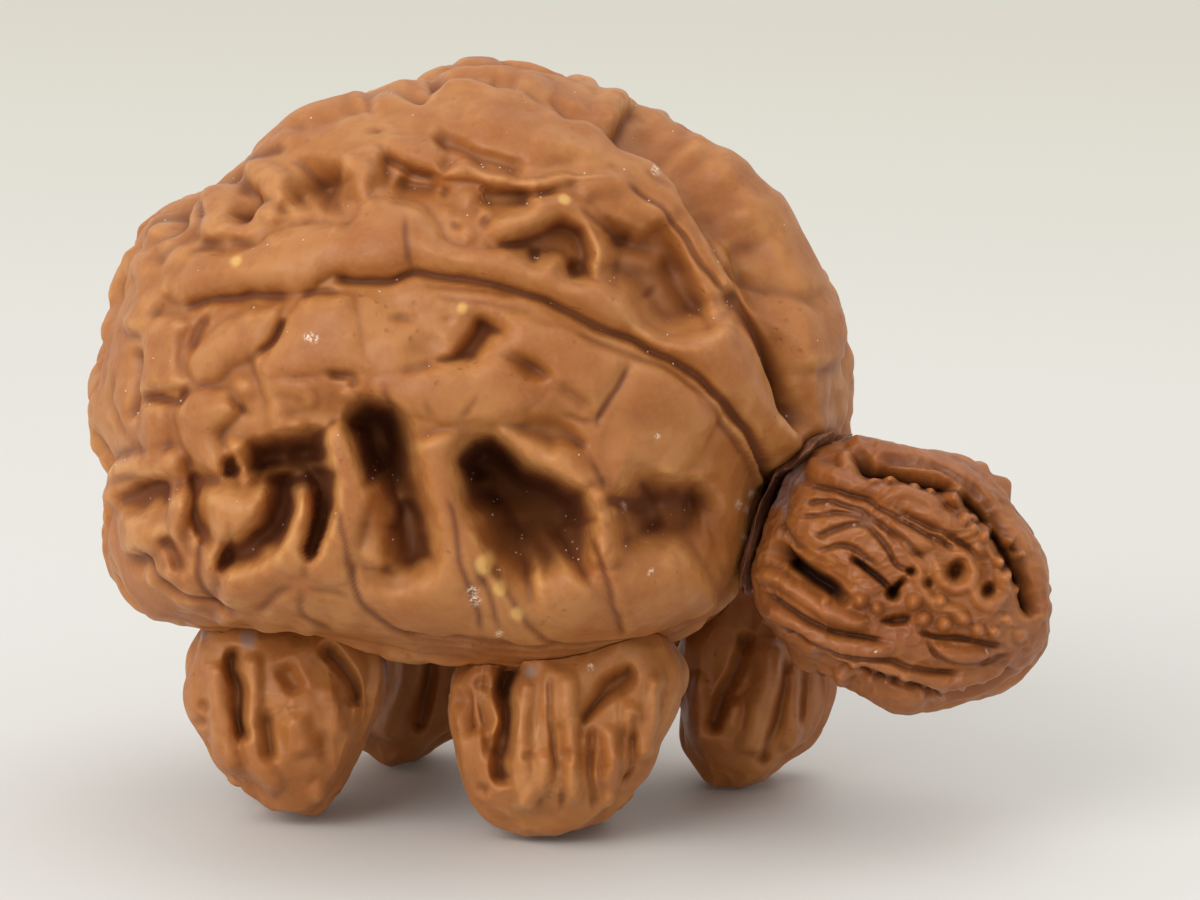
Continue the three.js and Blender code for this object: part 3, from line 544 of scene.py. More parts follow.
# The left end, under the side seam
LEFT_END = Drawing(
    folds=(
        Fold(-0.8, 0.5, ((-20, 1), (-20, 0), (-20.1, -1.5), (-20.3, -2.5), (-20.6, -3.7)), line=0.6),
        Fold(-0.3, 0.3, ((-21.3, -0.5), (-21.6, -1.5), (-21.8, -2.3), (-21.5, -3.3), (-21, -4.2),
            (-20.5, -4.8)), line=0.4),
        Fold(-0.4, 0.8, ((-18.5, 1.8), (-18.4, 0), (-18, -1.4))),
        Fold(-0.6, 0.4, ((-19.8, -2.1), (-18.5, -2.3), (-17.5, -2.3), (-17.2, -2), (-16.7, -1.4)),
            line=0.8),
        Fold(-0.7, 0.4, ((-11, 2.8), (-11.3, 2), (-11.6, 1.4), (-12.2, 0.8), (-13, 0.15)), line=0.8),
        Fold(-0.6, 0.5, ((-15.5, 3), (-16, 2.3), (-16.6, 1.2), (-17, 0.5)), line=0.8),
        Fold(-0.7, 0.4, ((-8.8, -0.6), (-7.6, -0.75), (-6.5, -0.7)), line=0.9),
        Fold(0.35, 0.45, ((-12, -1.3), (-10.5, -1.5), (-9, -1.7))),
        Fold(-0.4, 0.35, ((-14.3, -1.5), (-14, -2.4), (-13.5, -2.9), (-12.8, -3.2)), line=0.6),
        Fold(0.5, 0.5, ((-12.2, -3.5), (-11.5, -3.9), (-10.5, -3.85), (-9.5, -3.75))),
        Fold(0.8, 0.6, ((-13.6, -4.4), (-13.8, -5.2), (-13.6, -5.8), (-13.4, -6.4), (-13.6, -7),
            (-14, -7.3))),
        Fold(0.45, 0.6, ((-21.5, -6.7), (-20.5, -6.3), (-19.5, -5.7), (-19.2, -5.4))),
        Fold(-0.5, 0.45, ((-21.5, -7.2), (-20.5, -6.9), (-19.5, -6.4)), line=0.5),
        Fold(0.6, 0.7, ((-17.3, -7), (-17.6, -8.5), (-17.9, -10), (-18.2, -11))),
    ),
    patches=(
        Patch(0.5, 0.7, ((-19.4, 2.6), (-17.5, 2.8), (-16.8, 2.2), (-17.2, 1.5), (-17.3, 0), (-17, -0.9),
            (-16.7, -1.4), (-18, -1.8), (-19.9, -1.9), (-19.8, -0.5), (-19.7, 1)), Edge.ROUND),
        Patch(0.7, 0.9, ((-16.9, -0.2), (-16.8, 0.4), (-16.3, 1.2), (-15.5, 1.9), (-14.8, 2.4), (-14, 2.8),
            (-13, 3.2), (-12, 3.4), (-11.2, 3.5), (-11.3, 2.2), (-11.8, 1.4), (-12.5, 0.7), (-13.2, 0.1),
            (-14, -0.3), (-14.6, -0.9), (-15.4, -1.3), (-16.2, -1.3), (-16.7, -0.8)), Edge.ROUND),
        Patch(0.9, 1.2, ((-10.2, 3.7), (-9.5, 4), (-8.5, 4.1), (-7, 4), (-6.5, 2), (-6.3, 0.5),
            (-5.8, -0.3), (-6.5, -0.6), (-8, -0.5), (-10, -0.9), (-11, -1), (-12, -0.95), (-12.3, -0.5),
            (-12.1, 0.2), (-11.7, 1), (-11.3, 1.8), (-10.9, 2.6), (-10.5, 3.2)), Edge.ROUND),
        Patch(0.8, 0.9, ((-14.2, -1.7), (-16, -1.6), (-17.3, -2.3), (-17.7, -3), (-17.6, -3.8),
            (-17.3, -4.8), (-16.8, -5.8), (-16.2, -6.3), (-15.5, -6.7), (-14.8, -6.75), (-14.3, -6.2),
            (-14.2, -5.6), (-14.6, -5), (-14.8, -4.3), (-14, -3.4), (-13.6, -2.6)), Edge.ROUND),
        Patch(0.35, 0.5, ((-16.9, -3), (-15.9, -2.6), (-14.9, -2.4), (-14.2, -2.4), (-13.8, -2.9),
            (-14.2, -3.4), (-14.8, -3.9), (-15.5, -4.1), (-16.3, -3.9), (-16.8, -3.5)), Edge.ROUND),
        Patch(-1.2, 0.5, ((-14.9, -5.9), (-14.2, -5.6), (-13.9, -6.1), (-13.7, -6.6), (-14.1, -6.9),
            (-14.7, -6.7))),
        Patch(-0.8, 1.4, ((-20.6, -7), (-18.5, -6), (-17, -5.8), (-17, -8), (-18, -9.8), (-19.8, -9.8),
            (-20.6, -8.4))),
        Patch(-1.3, 0.9, ((-16.9, -5.9), (-16.6, -8), (-17.2, -9), (-17.6, -10), (-17.5, -11), (-17, -11.5),
            (-16.4, -11.2), (-15.9, -10.6), (-15.5, -10.1), (-15.9, -9.4), (-16.2, -8.7), (-16.1, -8),
            (-15.5, -7.4), (-14.9, -7), (-16.2, -6.5))),
    ),
    bumps=(
        Bump(-13.3, 1.9, -0.3, 0.8), Bump(-6.8, -1.1, -0.6, 0.6), Bump(-9.5, -2.2, 0.4, 0.7),
        Bump(-7.3, -1.9, 0.4, 0.7), Bump(-13.5, -1.5, 0.5, 1), Bump(-11.5, -3.2, 0.5, 1.1),
        Bump(-20, -12, -0.4, 1.1), Bump(-19, -12.9, 0.4, 0.8), Bump(-18, -12.7, 0.4, 0.7),
    ),
    spots=(Spot(-9.4, 1.5, 0.42, Tint.CRUST), Spot(-9.1, 1.35, 0.35, Tint.CRUST)),
)

# The left hole and the flesh under it
LEFT_HOLE = Drawing(
    folds=(
        Fold(-2.8, 1.25, ((-8.9, -6), (-8.9, -8.2), (-9.3, -10), (-9.9, -12))),
        Fold(-2.7, 1.35, ((-11, -6.4), (-11.2, -8), (-11.7, -9.6), (-12.8, -10.9), (-14.2, -11.6),
            (-15.2, -11.4))),
        Fold(2.4, 0.7, ((-10, -7), (-9.95, -8.8), (-10.2, -10.6), (-10.9, -12.6))),
        Fold(-0.8, 0.6, ((-16.5, -6.4), (-16.5, -8.4), (-16, -10.2), (-15.5, -11.4)), line=0.6),
        Fold(-0.35, 0.3, ((-15.6, -10.2), (-16.1, -11), (-16.3, -11.8), (-16.3, -12.6), (-16.1, -13.3),
            (-15.7, -14), (-15.2, -14.7), (-14.7, -15)), line=0.9),
        Fold(-0.5, 0.45, ((-12.8, -15), (-12, -14.3), (-11.3, -13.6), (-10.3, -13.3)), line=0.6),
        Fold(-0.3, 0.28, ((-10.1, -13.2), (-10.05, -14), (-10, -14.8), (-9.6, -15.3), (-8.8, -15.7),
            (-8, -16.1)), line=0.8),
        Fold(-0.4, 0.4, ((-9.7, -13.4), (-8.5, -13.5), (-7, -13.9)), line=0.5),
        Fold(-0.45, 0.35, ((-7.8, -8.6), (-7.7, -9.6), (-7.5, -10.5), (-7.3, -11.4), (-7.1, -12.2),
            (-6.9, -13), (-6.6, -13.8), (-6.2, -14.5), (-5.7, -14.9), (-5.2, -15.3), (-4.6, -15.8),
            (-3.8, -16.15), (-3, -16.3), (-2, -16.4), (0, -16.3)), line=1.0),
        Fold(2.2, 0.95, ((-8.7, -3.9), (-8.0, -4.8), (-7.6, -6), (-7.2, -7.4), (-7.4, -9), (-8, -11),
            (-8.8, -13))),
    ),
    patches=(
        Patch(-4.8, 1.4, ((-13.9, -6.2), (-13.5, -5.4), (-12.8, -4.87), (-11.2, -4.4), (-9.2, -4.1),
            (-8.3, -4.7), (-8.1, -6.2), (-8.4, -8.6), (-10, -9.2), (-11.3, -8.8), (-12, -7.5),
            (-13.6, -7.1)), Edge.SCOOP),
        Patch(0.9, 1.3, ((-15.9, -8), (-15.2, -7.4), (-13.6, -7.4), (-12, -7.2), (-11.4, -8), (-11.9, -9.4),
            (-13, -10.4), (-14.6, -10.9), (-15.5, -10.4), (-15.9, -9.2)), Edge.ROUND),
        Patch(0.5, 1.3, ((-15.3, -11.2), (-14.6, -12), (-13.8, -12.3), (-12.6, -11.8), (-11.6, -11),
            (-10.8, -10.4), (-10.5, -11.6), (-10.5, -13), (-11.6, -13.4), (-12.4, -14.3), (-13, -14.9),
            (-14.5, -14.9), (-15.4, -14), (-16, -12.6), (-15.9, -11.6)), Edge.ROUND),
        Patch(0.4, 1.0, ((-8.2, -8.4), (-7.8, -9.4), (-7.4, -11.4), (-6.9, -13.2), (-8.2, -13.3),
            (-9.5, -13), (-9.3, -11.4), (-8.7, -10)), Edge.ROUND),
        Patch(0.6, 1.5, ((-7.6, -7.6), (-7, -7.3), (-6.5, -8.4), (-6.5, -10.6), (-6.4, -12), (-5.6, -13.2),
            (-4, -13.2), (-2.6, -12.4), (-1.9, -11.6), (-1, -12.6), (-0.4, -14), (-0.1, -15.8), (-3, -16),
            (-5, -15), (-6.4, -13.8), (-7.2, -11.4)), Edge.ROUND),
    ),
    bumps=(Bump(-9.8, -5.9, -1, 1.4),),
)

# The middle hole, the pillar on its right, and the bone-like span over them
MIDDLE_HOLE = Drawing(
    folds=(
        Fold(-0.8, 1.2, ((-5, -5), (-6.5, -6.7))),
        Fold(1.2, 1.3, ((-6.6, -7.4), (-5.4, -8.8), (-5.2, -10.6), (-5.8, -12.4))),
        Fold(1.4, 1.3, ((-2.4, -4.2), (-1.9, -6), (-1.6, -8), (-1.2, -9.6), (-0.6, -11.2), (0.6, -13))),
        Fold(-0.3, 0.25, ((-1.4, -8), (-1, -9), (-0.8, -10), (-0.7, -11), (-0.6, -11.8), (-0.2, -12.7),
            (0, -13.2), (0.2, -14), (0.5, -14.8), (0.6, -16)), line=1.0),
        Fold(0.45, 0.3, ((-0.6, -10.2), (0, -10.3), (0.5, -11.2), (1, -12.2), (1.6, -13), (2.3, -13.9),
            (2.9, -14.8), (3.5, -15.9))),
        Fold(0.3, 0.25, ((-0.4, -10.6), (-0.2, -11.6), (0.2, -12.5), (0.5, -13.5))),
        Fold(-0.4, 0.28, ((0.1, -11.5), (0.5, -12.3), (0.9, -13.2), (1.3, -14.2), (1.6, -15.2),
            (1.9, -15.9)), line=0.8),
        Fold(-0.4, 0.28, ((0.9, -11.6), (1.6, -12.6), (2.3, -13.6), (3, -14.7), (3.6, -15.6), (4.3, -16.2),
            (5, -16.6), (6, -16.8)), line=0.8),
        Fold(-0.3, 0.25, ((0.1, -16.1), (0.9, -16.3), (1.8, -16.5), (2.7, -16.8), (3.5, -16.85)), line=0.8),
        Fold(-0.35, 0.35, ((-5.3, -1), (-5, -1.8), (-4.7, -2.5), (-4.3, -2.85)), line=0.6),
        Fold(-0.35, 0.35, ((-2.7, -1.9), (-2.5, -2.8), (-2, -3.6)), line=0.4),
        Fold(-0.35, 0.35, ((0.6, -1.6), (0.2, -2.4), (-0.3, -3.1), (-0.7, -3.6)), line=0.4),
        Fold(-0.5, 0.6, ((-1.8, -0.1), (-3, -0.4), (-4.4, -0.7)), line=0.5),
        Fold(-0.4, 0.9, ((1.6, 0.4), (2.3, 0.2), (3, -0.1), (3.8, -0.55), (4.5, -0.95), (5, -1.1)),
            line=0.5),
        Fold(-0.4, 0.8, ((5, -1.1), (6.2, -1.9), (7.5, -2.8)), line=0.4),
        Fold(-0.35, 0.45, ((-5, 2.6), (-3, 2.6)), line=0.3),
        Fold(-0.25, 0.3, ((-2, 2.55), (-0.8, 2.55)), line=0.3),
    ),
    patches=(
        Patch(-6.2, 1.5, ((-7.4, -3.5), (-6.4, -2.4), (-4.9, -2.5), (-3.9, -3.4), (-3.5, -5.3),
            (-3.1, -7.3), (-2.5, -9.8), (-2.3, -11.6), (-3.2, -12.6), (-4.6, -12.8), (-5.5, -12),
            (-5.7, -9.8), (-6, -7.8), (-6.5, -6.8), (-7, -5)), Edge.SCOOP),
        Patch(-1.2, 0.8, ((-4.2, -8.2), (-3.3, -8.3), (-2.8, -8.8), (-2.5, -9.5), (-2.3, -10.2),
            (-2.2, -11), (-2.3, -11.7), (-3, -12.1), (-3.8, -12.4), (-4.6, -12.7), (-5.2, -12.6),
            (-5.5, -12), (-5.4, -11), (-5.2, -10.2), (-4.9, -9.4))),
        Patch(0.7, 1.3, ((-6, -2), (-5.3, -2.5), (-4.5, -2.85), (-3.8, -3.1), (-3, -3.35), (-2.2, -3.6),
            (-1.5, -3.8), (-0.7, -3.75), (0.2, -3.6), (1.2, -3.7), (2, -3.55), (2.6, -3.35), (3.1, -3.1),
            (5, -1.2), (3, 0), (1.6, 0.4), (0.2, -0.2), (-1.5, -0.2), (-4, -0.8), (-5.8, -1)), Edge.ROUND),
        Patch(-1.7, 0.8, ((-2, 0.1), (-1.2, 0.5), (-0.6, 1.1), (-0.1, 1.8), (0.3, 2.6), (0.9, 2.7),
            (1.6, 2.3), (1.9, 1.8), (1.4, 1.3), (0.9, 0.6), (0.4, 0), (-0.5, -0.1), (-1.5, -0.1))),
    ),
    spots=(
        Spot(0.15, -13.4, 0.4, Tint.CRUST), Spot(0.3, -14.0, 0.4, Tint.CRUST),
        Spot(1.7, -15.9, 0.3, Tint.CRUST),
        # The yellow spots are painted highlights along the lit ridge under the middle hole
        Spot(0.9, -11.9, 0.8, Tint.PAINTED_HIGHLIGHT), Spot(1.8, -13.3, 0.6, Tint.PAINTED_HIGHLIGHT),
        Spot(2.8, -14.7, 0.5, Tint.PAINTED_HIGHLIGHT),
    ),
)

# The right part of the lower flank: the broad lobes, the darkest hole and the bean-shaped one
RIGHT_HOLES = Drawing(
    folds=(
        Fold(-0.2, 0.25, ((5.2, -3), (6, -3.3), (6.8, -3.55), (7.7, -3.6)), line=0.5),
        Fold(-0.35, 0.28, ((9.5, -0.1), (9.1, -0.9), (8.8, -1.5), (8.3, -2.2), (7.9, -2.9), (7.7, -3.4),
            (7.7, -3.7), (8, -4)), line=0.9),
        Fold(0.25, 0.4, ((11, -6.1), (12, -6.5), (12.7, -6.8), (13.5, -6.7), (14.2, -6.3), (14.8, -5.9))),
        Fold(1.6, 2.2, ((3.4, -13), (5, -12.6), (6.4, -11.8))),
        Fold(0.8, 0.5, ((0.7, -6.5), (0.7, -8.5))),
        Fold(0.4, 0.8, ((1.2, -4.3), (2.5, -4.8), (4, -5.7), (5, -6.3), (6, -7), (7, -7.9))),
        Fold(0.4, 0.9, ((4.8, -5), (6, -6.3), (7, -7.3), (7.5, -8))),
        Fold(1, 1, ((7.3, -7.4), (7.6, -8.8), (7.8, -9.8), (8, -10.8), (8.2, -12.4))),
        Fold(-0.35, 0.28, ((7.1, -5.7), (7.4, -6.2), (7.7, -6.8), (8, -7.4), (8.3, -7.9)), line=0.8),
        Fold(-0.35, 0.28, ((7.3, -10.4), (7.6, -11.2), (7.9, -12.2), (8.2, -13.1), (8.5, -14.2),
            (8.8, -15.2), (9, -15.9), (9.1, -16.4)), line=1.0),
        Fold(0.3, 0.4, ((7.7, -10.4), (8, -11.2), (8.3, -12.2), (8.6, -13.1), (8.9, -14.2), (9.2, -15.2),
            (9.4, -15.9), (9.5, -16.4))),
        Fold(-0.9, 1.2, ((10, -8), (10.7, -9.5), (11, -10.5))),
    ),
    patches=(
        Patch(0.6, 1.4, ((1.9, 2.6), (2.5, 3), (4, 2.6), (6, 1.9), (8, 1.1), (9.3, 0.2), (9, -0.8),
            (8.2, -2.2), (7.6, -3.2), (6.4, -2.4), (5.2, -1.4), (4.4, -0.6), (3, 0.3), (2.2, 0.8)),
            Edge.ROUND),
        Patch(0.5, 2, ((9.6, 0), (11.5, -0.2), (13.4, -1.6), (15, -3.8), (16.4, -6), (16.6, -8.4),
            (16, -11), (15.4, -12.6), (14.8, -10), (14.2, -7.9), (12.8, -7), (10.6, -6.6), (9.2, -7.2),
            (8.4, -7.4), (8.1, -5.4), (8.1, -4.2), (8.7, -2.6), (9.4, -1)), Edge.ROUND),
        Patch(-8.0, 1.2, ((-0.7, -5.9), (0, -4.9), (0.5, -4.65), (1.2, -4.6), (1.9, -4.95), (2.6, -5.6),
            (3.3, -6.2), (4.2, -6.6), (5, -6.9), (5.6, -7.2), (6.2, -7.6), (6.8, -8), (7.3, -9.2),
            (7.3, -10.6), (7, -12), (6.3, -13.2), (5, -13.9), (4, -13.9), (3.2, -13.3), (2.4, -12.5),
            (1.6, -11.3), (1, -10.2), (0.8, -9.2), (-0.1, -8.3), (-0.4, -7.2)), Edge.SCOOP),
        Patch(-0.9, 0.9, ((1.9, -3.8), (2.7, -3.4), (3.3, -3.1), (4.2, -3.05), (5, -3.2), (6, -3.7),
            (6.6, -4.3), (7, -4.9), (6.6, -5.4), (5.5, -5), (4.6, -5), (3.6, -4.6), (2.8, -4.3))),
        Patch(-4.2, 1.5, ((8.3, -8.1), (8.8, -7.9), (9.3, -7.7), (9.7, -7.4), (10.2, -7), (10.9, -7),
            (11.8, -7.2), (12.8, -7.3), (13.6, -7.4), (14.2, -7.8), (14.6, -8.3), (14.9, -9), (15, -9.8),
            (14.9, -10.6), (14.2, -11.5), (13.2, -12), (12.2, -12.3), (11, -12.3), (10.2, -12),
            (9.4, -11.6), (8.8, -11.2), (8.6, -10.6), (8.7, -9.2), (8.3, -8.6)), Edge.SCOOP),
        Patch(0.4, 1.6, ((2.2, -13.2), (4, -14.3), (6, -14), (7.2, -12.8), (8.3, -14.6), (8.7, -16),
            (6, -16.5), (4.4, -16), (3, -14.4)), Edge.ROUND),
        Patch(0.4, 1.6, ((8.6, -12.2), (10.6, -12.6), (13, -12.6), (15.2, -12.4), (15, -14), (13.6, -15.4),
            (11, -16.3), (9.3, -16.2), (8.8, -14.4)), Edge.ROUND),
    ),
    bumps=(Bump(11, -3.8, -0.35, 2), Bump(3.6, -0.8, -1.1, 1.9), Bump(-2.6, 0.6, -0.6, 1.6)),
    spots=(
        Spot(9.25, -8.7, 0.25, Tint.CRUST), Spot(10.7, -12.5, 0.2, Tint.CRUST),
        Spot(16, -8.5, 0.3, Tint.CRUST),
        Spot(16.5, -8.8, 0.25, Tint.CRUST), Spot(16.9, -7.9, 0.3, Tint.CRUST),
        Spot(16.4, -10.4, 0.25, Tint.CRUST),
        Spot(15, -14.6, 0.2, Tint.CRUST), Spot(11, -4.4, 0.2, Tint.CRUST),
    ),
)

# The rim under them, where the lower seam turns away
LOWER_RIM_PATH = (
    (-4, -16.1), (-2, -16.4), (0, -16.3), (2, -16.8), (6, -16.8), (9.5, -16.7), (11, -16.5), (13, -15.8),
    (13.9, -15.4),
)
LOWER_RIM = Drawing(
    folds=(
        Fold(-0.35, 0.3, LOWER_RIM_PATH, line=0.8),
        Fold(-0.15, 0.15, LOWER_RIM_PATH, shift=-0.35, line=0.4),
        Fold(-0.15, 0.15, LOWER_RIM_PATH, shift=-0.65, line=0.4),
        Fold(0.3, 0.4, LOWER_RIM_PATH, shift=-0.95),
    ),
    bumps=(
        Bump(-14.5, -15.3, 0.35, 1), Bump(-12, -15.6, 0.35, 1.2), Bump(-9.8, -16, 0.3, 0.9),
        Bump(-7.4, -15.4, 0.3, 1.2), Bump(-17, -14.2, 0.35, 1.2),
    ),
)

# The broad forms: the brow over the holes, the swollen lower flank, and the valleys between the rolls
BROAD_FORMS = Drawing(
    folds=(
        Fold(0.9, 2.6, ((-13, -0.5), (-8, 0.8), (-4, -1.2), (0, -2), (5, -0.5), (10, -2.5), (14, -5))),
        Fold(0.8, 2.4, ((-15, -12.5), (-9, -13.5), (-3, -14), (4, -14.8), (10, -14), (14, -12))),
        Fold(0.7, 1.2, ((-20.2, 5), (-19.3, 7), (-18.2, 8.8))),
        Fold(-0.7, 1.1, ((-17.6, 6.9), (-17.1, 8.4), (-16.2, 10))),
        Fold(0.7, 1.1, ((-15.9, 7.4), (-15.1, 9.2), (-14.2, 10.9))),
        Fold(-0.9, 1.2, ((-14.2, 7.8), (-13.4, 9.6), (-12.6, 11))),
        Fold(0.6, 1.0, ((-12.8, 8.4), (-12, 10), (-11.2, 11.6))),
        Fold(-1.3, 1.6, ((-11, 9.6), (-9.4, 10.6), (-7.6, 10.4))),
        Fold(0.9, 0.7, ((-7.4, 12.4), (-6.7, 11), (-7.2, 9.8))),
        Fold(-0.6, 0.4, ((-19.4, 7.1), (-17.8, 8.9), (-16, 10.1), (-14.4, 11), (-12.6, 11.9),
            (-10.6, 12.7)), line=0.9),
        Fold(0.5, 1.5, ((-18.4, 9.6), (-15.8, 11.4), (-13, 13.2), (-9.6, 14.8), (-5.8, 16))),
        Fold(-0.9, 1.6, ((-4.5, 11), (-1.5, 9.8), (1.5, 9.4), (4, 10))),
        Fold(-1.0, 2.0, ((11, 8.6), (13, 5.6), (14.2, 2.8))),
        Fold(0.8, 1.6, ((13, 14), (16, 11.6), (18.6, 8), (20.6, 3.6), (21.4, -0.4))),
        Fold(-1.3, 1.7, ((8.6, 14.8), (11.5, 12.9), (14.2, 9.7), (16.9, 5.9), (18.5, 1.1), (19.5, -3.7))),
        Fold(0.7, 0.8, ((8, 16.4), (10.5, 15.5), (14.7, 12.3), (17.9, 9.7), (21.1, 4.9), (22.2, 1.1))),
        Fold(0.6, 1.1, ((-2, 17.2), (2, 17.3), (6, 16.3), (9.5, 14.8))),
        Fold(-0.5, 0.8, ((-4, 16.4), (0, 17), (4, 16.6), (8, 15.5))),
        Fold(0.5, 1.0, ((-13.5, 12.6), (-10, 14.4), (-6, 15.6), (-2, 16.6))),
        Fold(0.8, 0.8, ((-17.2, -7.6), (-16.9, -9.8), (-16.6, -11.6))),
        Fold(1.1, 0.8, ((-21.9, -8.8), (-21.5, -7.6), (-20.4, -6.7), (-18.5, -6.3), (-16.9, -6.1))),
        Fold(-1.3, 1.1, ((-20.8, -9), (-19.4, -8), (-17.8, -7.8))),
        Fold(-0.9, 0.7, ((-18.6, -10), (-17.8, -11.4), (-17.2, -13))),
        Fold(-0.6, 0.35, ((-19.9, -11), (-19.2, -12.6), (-17.9, -13.9), (-16, -14.4), (-13.6, -15.1)),
            line=0.9),
    ),
    patches=(
        Patch(0.6, 0.8, ((-19.6, -2.4), (-18.2, -2.5), (-17.9, -4), (-18.2, -5.6), (-19.2, -5.9),
            (-19.8, -4.5)), Edge.ROUND),
        Patch(0.7, 1.2, ((-21.4, -7.4), (-19.6, -7.0), (-18.4, -8.2), (-18.2, -10.6), (-19.4, -11.8),
            (-21.2, -11.4)), Edge.ROUND),
    ),
)

SHELL_DRAWING = merged(
    BROAD_FORMS,
    SIDE_SEAM, UPPER_SEAM, BETWEEN_SEAMS, UPPER_LEFT, UPPER_RIGHT, LEFT_END, LEFT_HOLE, MIDDLE_HOLE,
    RIGHT_HOLES, LOWER_RIM,
)

SHELL_OUTLINE = (
    (-21.6, -6.8), (-22.5, -4.9), (-22.9, -3.5), (-22.7, -1.6), (-22.0, 0.6), (-21.6, 2.4), (-20.9, 4.0),
    (-20.0, 6.3), (-19.5, 6.7), (-19.6, 7.1), (-19.4, 7.9), (-19.0, 8.3), (-18.0, 9.3), (-16.4, 10.1),
    (-15.0, 10.8), (-14.0, 12.1), (-12.0, 13.8), (-10.0, 15.1), (-7.0, 15.9), (-5.0, 16.6), (-3.0, 17.1),
    (-1.0, 17.8), (1.2, 18.1), (4.0, 17.7), (7.0, 16.9), (7.5, 16.8), (8, 16.4), (10.0, 15.6), (12.5, 14.3),
    (14.0, 13.0), (16.0, 11.9), (16.4, 11.4), (16.6, 11.0), (17.0, 10.6), (17.6, 10.15), (18.2, 9.9),
    (18.6, 9.3), (19.5, 7.5), (20.5, 5.6), (21.8, 3.2), (22.6, 0.0), (22.7, -2.3), (22.2, -4.9),
    (20.2, -6.2), (17.7, -7.2), (17.55, -8), (17.3, -9.0), (16.8, -11.1), (16.2, -13.4), (15.0, -14.9),
    (13.6, -16.1), (11.0, -17.1), (8.0, -17.9), (5.0, -18.2), (2.0, -18.1), (-1.0, -17.9), (-4.0, -17.6),
    (-7.0, -17.2), (-10.3, -16.7), (-13.0, -16.6), (-15.2, -16.1), (-17.7, -15.5), (-19.3, -15.3),
    (-21.0, -13.8), (-21.8, -12.0), (-22.1, -10.5), (-22.0, -8.5),
)

HEAD_OUTLINE = (
    (16.7, -13.0), (17.2, -11), (17.6, -9), (18.4, -7), (19.2, -6.2), (20, -5.6), (20.5, -5.2),
    (22.5, -4.85), (24.2, -4.63), (26, -4.8), (28, -5.25), (30, -5.9), (31, -6.6), (32.3, -7.75),
    (33, -8.9), (34, -10.2), (34.7, -12.2), (35.05, -14), (35.15, -16), (34.9, -17), (34.3, -17.9),
    (33, -19.3), (31.5, -20.2), (30, -20.6), (28, -21.15), (26.5, -21.35), (25.2, -21.2), (24.2, -20.6),
    (22.7, -20), (21, -19.1), (20, -18.2), (18.5, -17), (17.4, -15.8), (16.9, -14.6),
)

# The head nut: the crescent behind it, the furrow with its pegs, the net of its front and its lower seam
HEAD_SEAMS = Drawing(
    folds=(
        Fold(-1.9, 0.75, ((22.9, -5.6), (23.6, -6.1), (24.2, -6.6), (25.2, -6.5), (26.7, -6.9),
            (27.9, -7.3), (29.4, -7.9), (30.4, -8.8), (31.2, -9.8), (31.8, -11), (32.3, -12.1),
            (32.9, -13.1), (33.5, -14.3), (33.7, -15.4)), line=1.0),
        Fold(0.35, 0.6, ((22.5, -5.2), (24, -5.2), (26, -5.5), (28, -6), (29.5, -6.7), (30.9, -7.9),
            (32, -9.1), (33.2, -11), (34, -13), (34.5, -15.5))),
        Fold(-0.35, 0.25, ((24.5, -5.6), (27, -6), (29, -6.8), (30.8, -8.2), (32, -9.8), (33, -11.8),
            (33.7, -13.8)), line=0.5),
        Fold(0.5, 0.5, ((20, -6.3), (22.8, -7.1), (24.8, -7.7), (27.9, -9.2), (30, -10.3), (31.4, -11.4),
            (32, -12.6), (33, -14.2))),
        Fold(0.9, 0.42, ((25.2, -7.7), (26.4, -7.9), (27.4, -8.3), (28.4, -8.9))),
        Fold(1.0, 0.42, ((22.1, -5.6), (22.7, -6.1), (23.3, -6.8))),
        Fold(-0.9, 0.6, ((20.7, -17.2), (22.1, -18.2), (24.2, -18.7), (26.7, -19.5), (28.3, -20.1),
            (30.4, -19.7), (32.1, -19.1), (33, -18.5)), line=1.0),
        Fold(0.5, 0.5, ((20, -16.6), (22, -17.4), (24.2, -18), (26.7, -18.8), (28.6, -19.3), (30.6, -19),
            (32.4, -18.3))),
    ),
    bumps=(
        Bump(25.2, -6.9, 1.5, 0.55), Bump(26.7, -7.25, 1.4, 0.5), Bump(27.7, -7.6, 1.3, 0.45),
        Bump(29.15, -8.0, 2.0, 0.9), Bump(29.7, -9.4, 1.2, 0.6), Bump(30.3, -9.3, 1.1, 0.45),
        Bump(30.2, -10, 0.9, 0.5), Bump(31.1, -9.9, 1.7, 0.7), Bump(30.8, -10.5, 1.0, 0.5),
        Bump(32.3, -10.7, 1.2, 0.5), Bump(31.8, -11.9, 1.3, 0.55), Bump(32.4, -12.6, 1.3, 0.55),
        Bump(32.9, -11.6, 1.0, 0.45), Bump(33.1, -13.6, 1.2, 0.55), Bump(24.3, -7.1, 0.9, 0.5),
        Bump(23.1, -18.2, 0.8, 0.5), Bump(24.1, -18.9, 0.8, 0.6), Bump(25, -19.1, 0.8, 0.5),
        Bump(26.1, -19.1, 0.8, 0.55), Bump(27.2, -19.9, 0.7, 0.5), Bump(28.4, -20.1, 0.8, 0.6),
        Bump(29.6, -19.8, 0.8, 0.5), Bump(30.9, -19.5, 0.7, 0.5), Bump(22.3, -18.9, 0.6, 0.7),
    ),
)
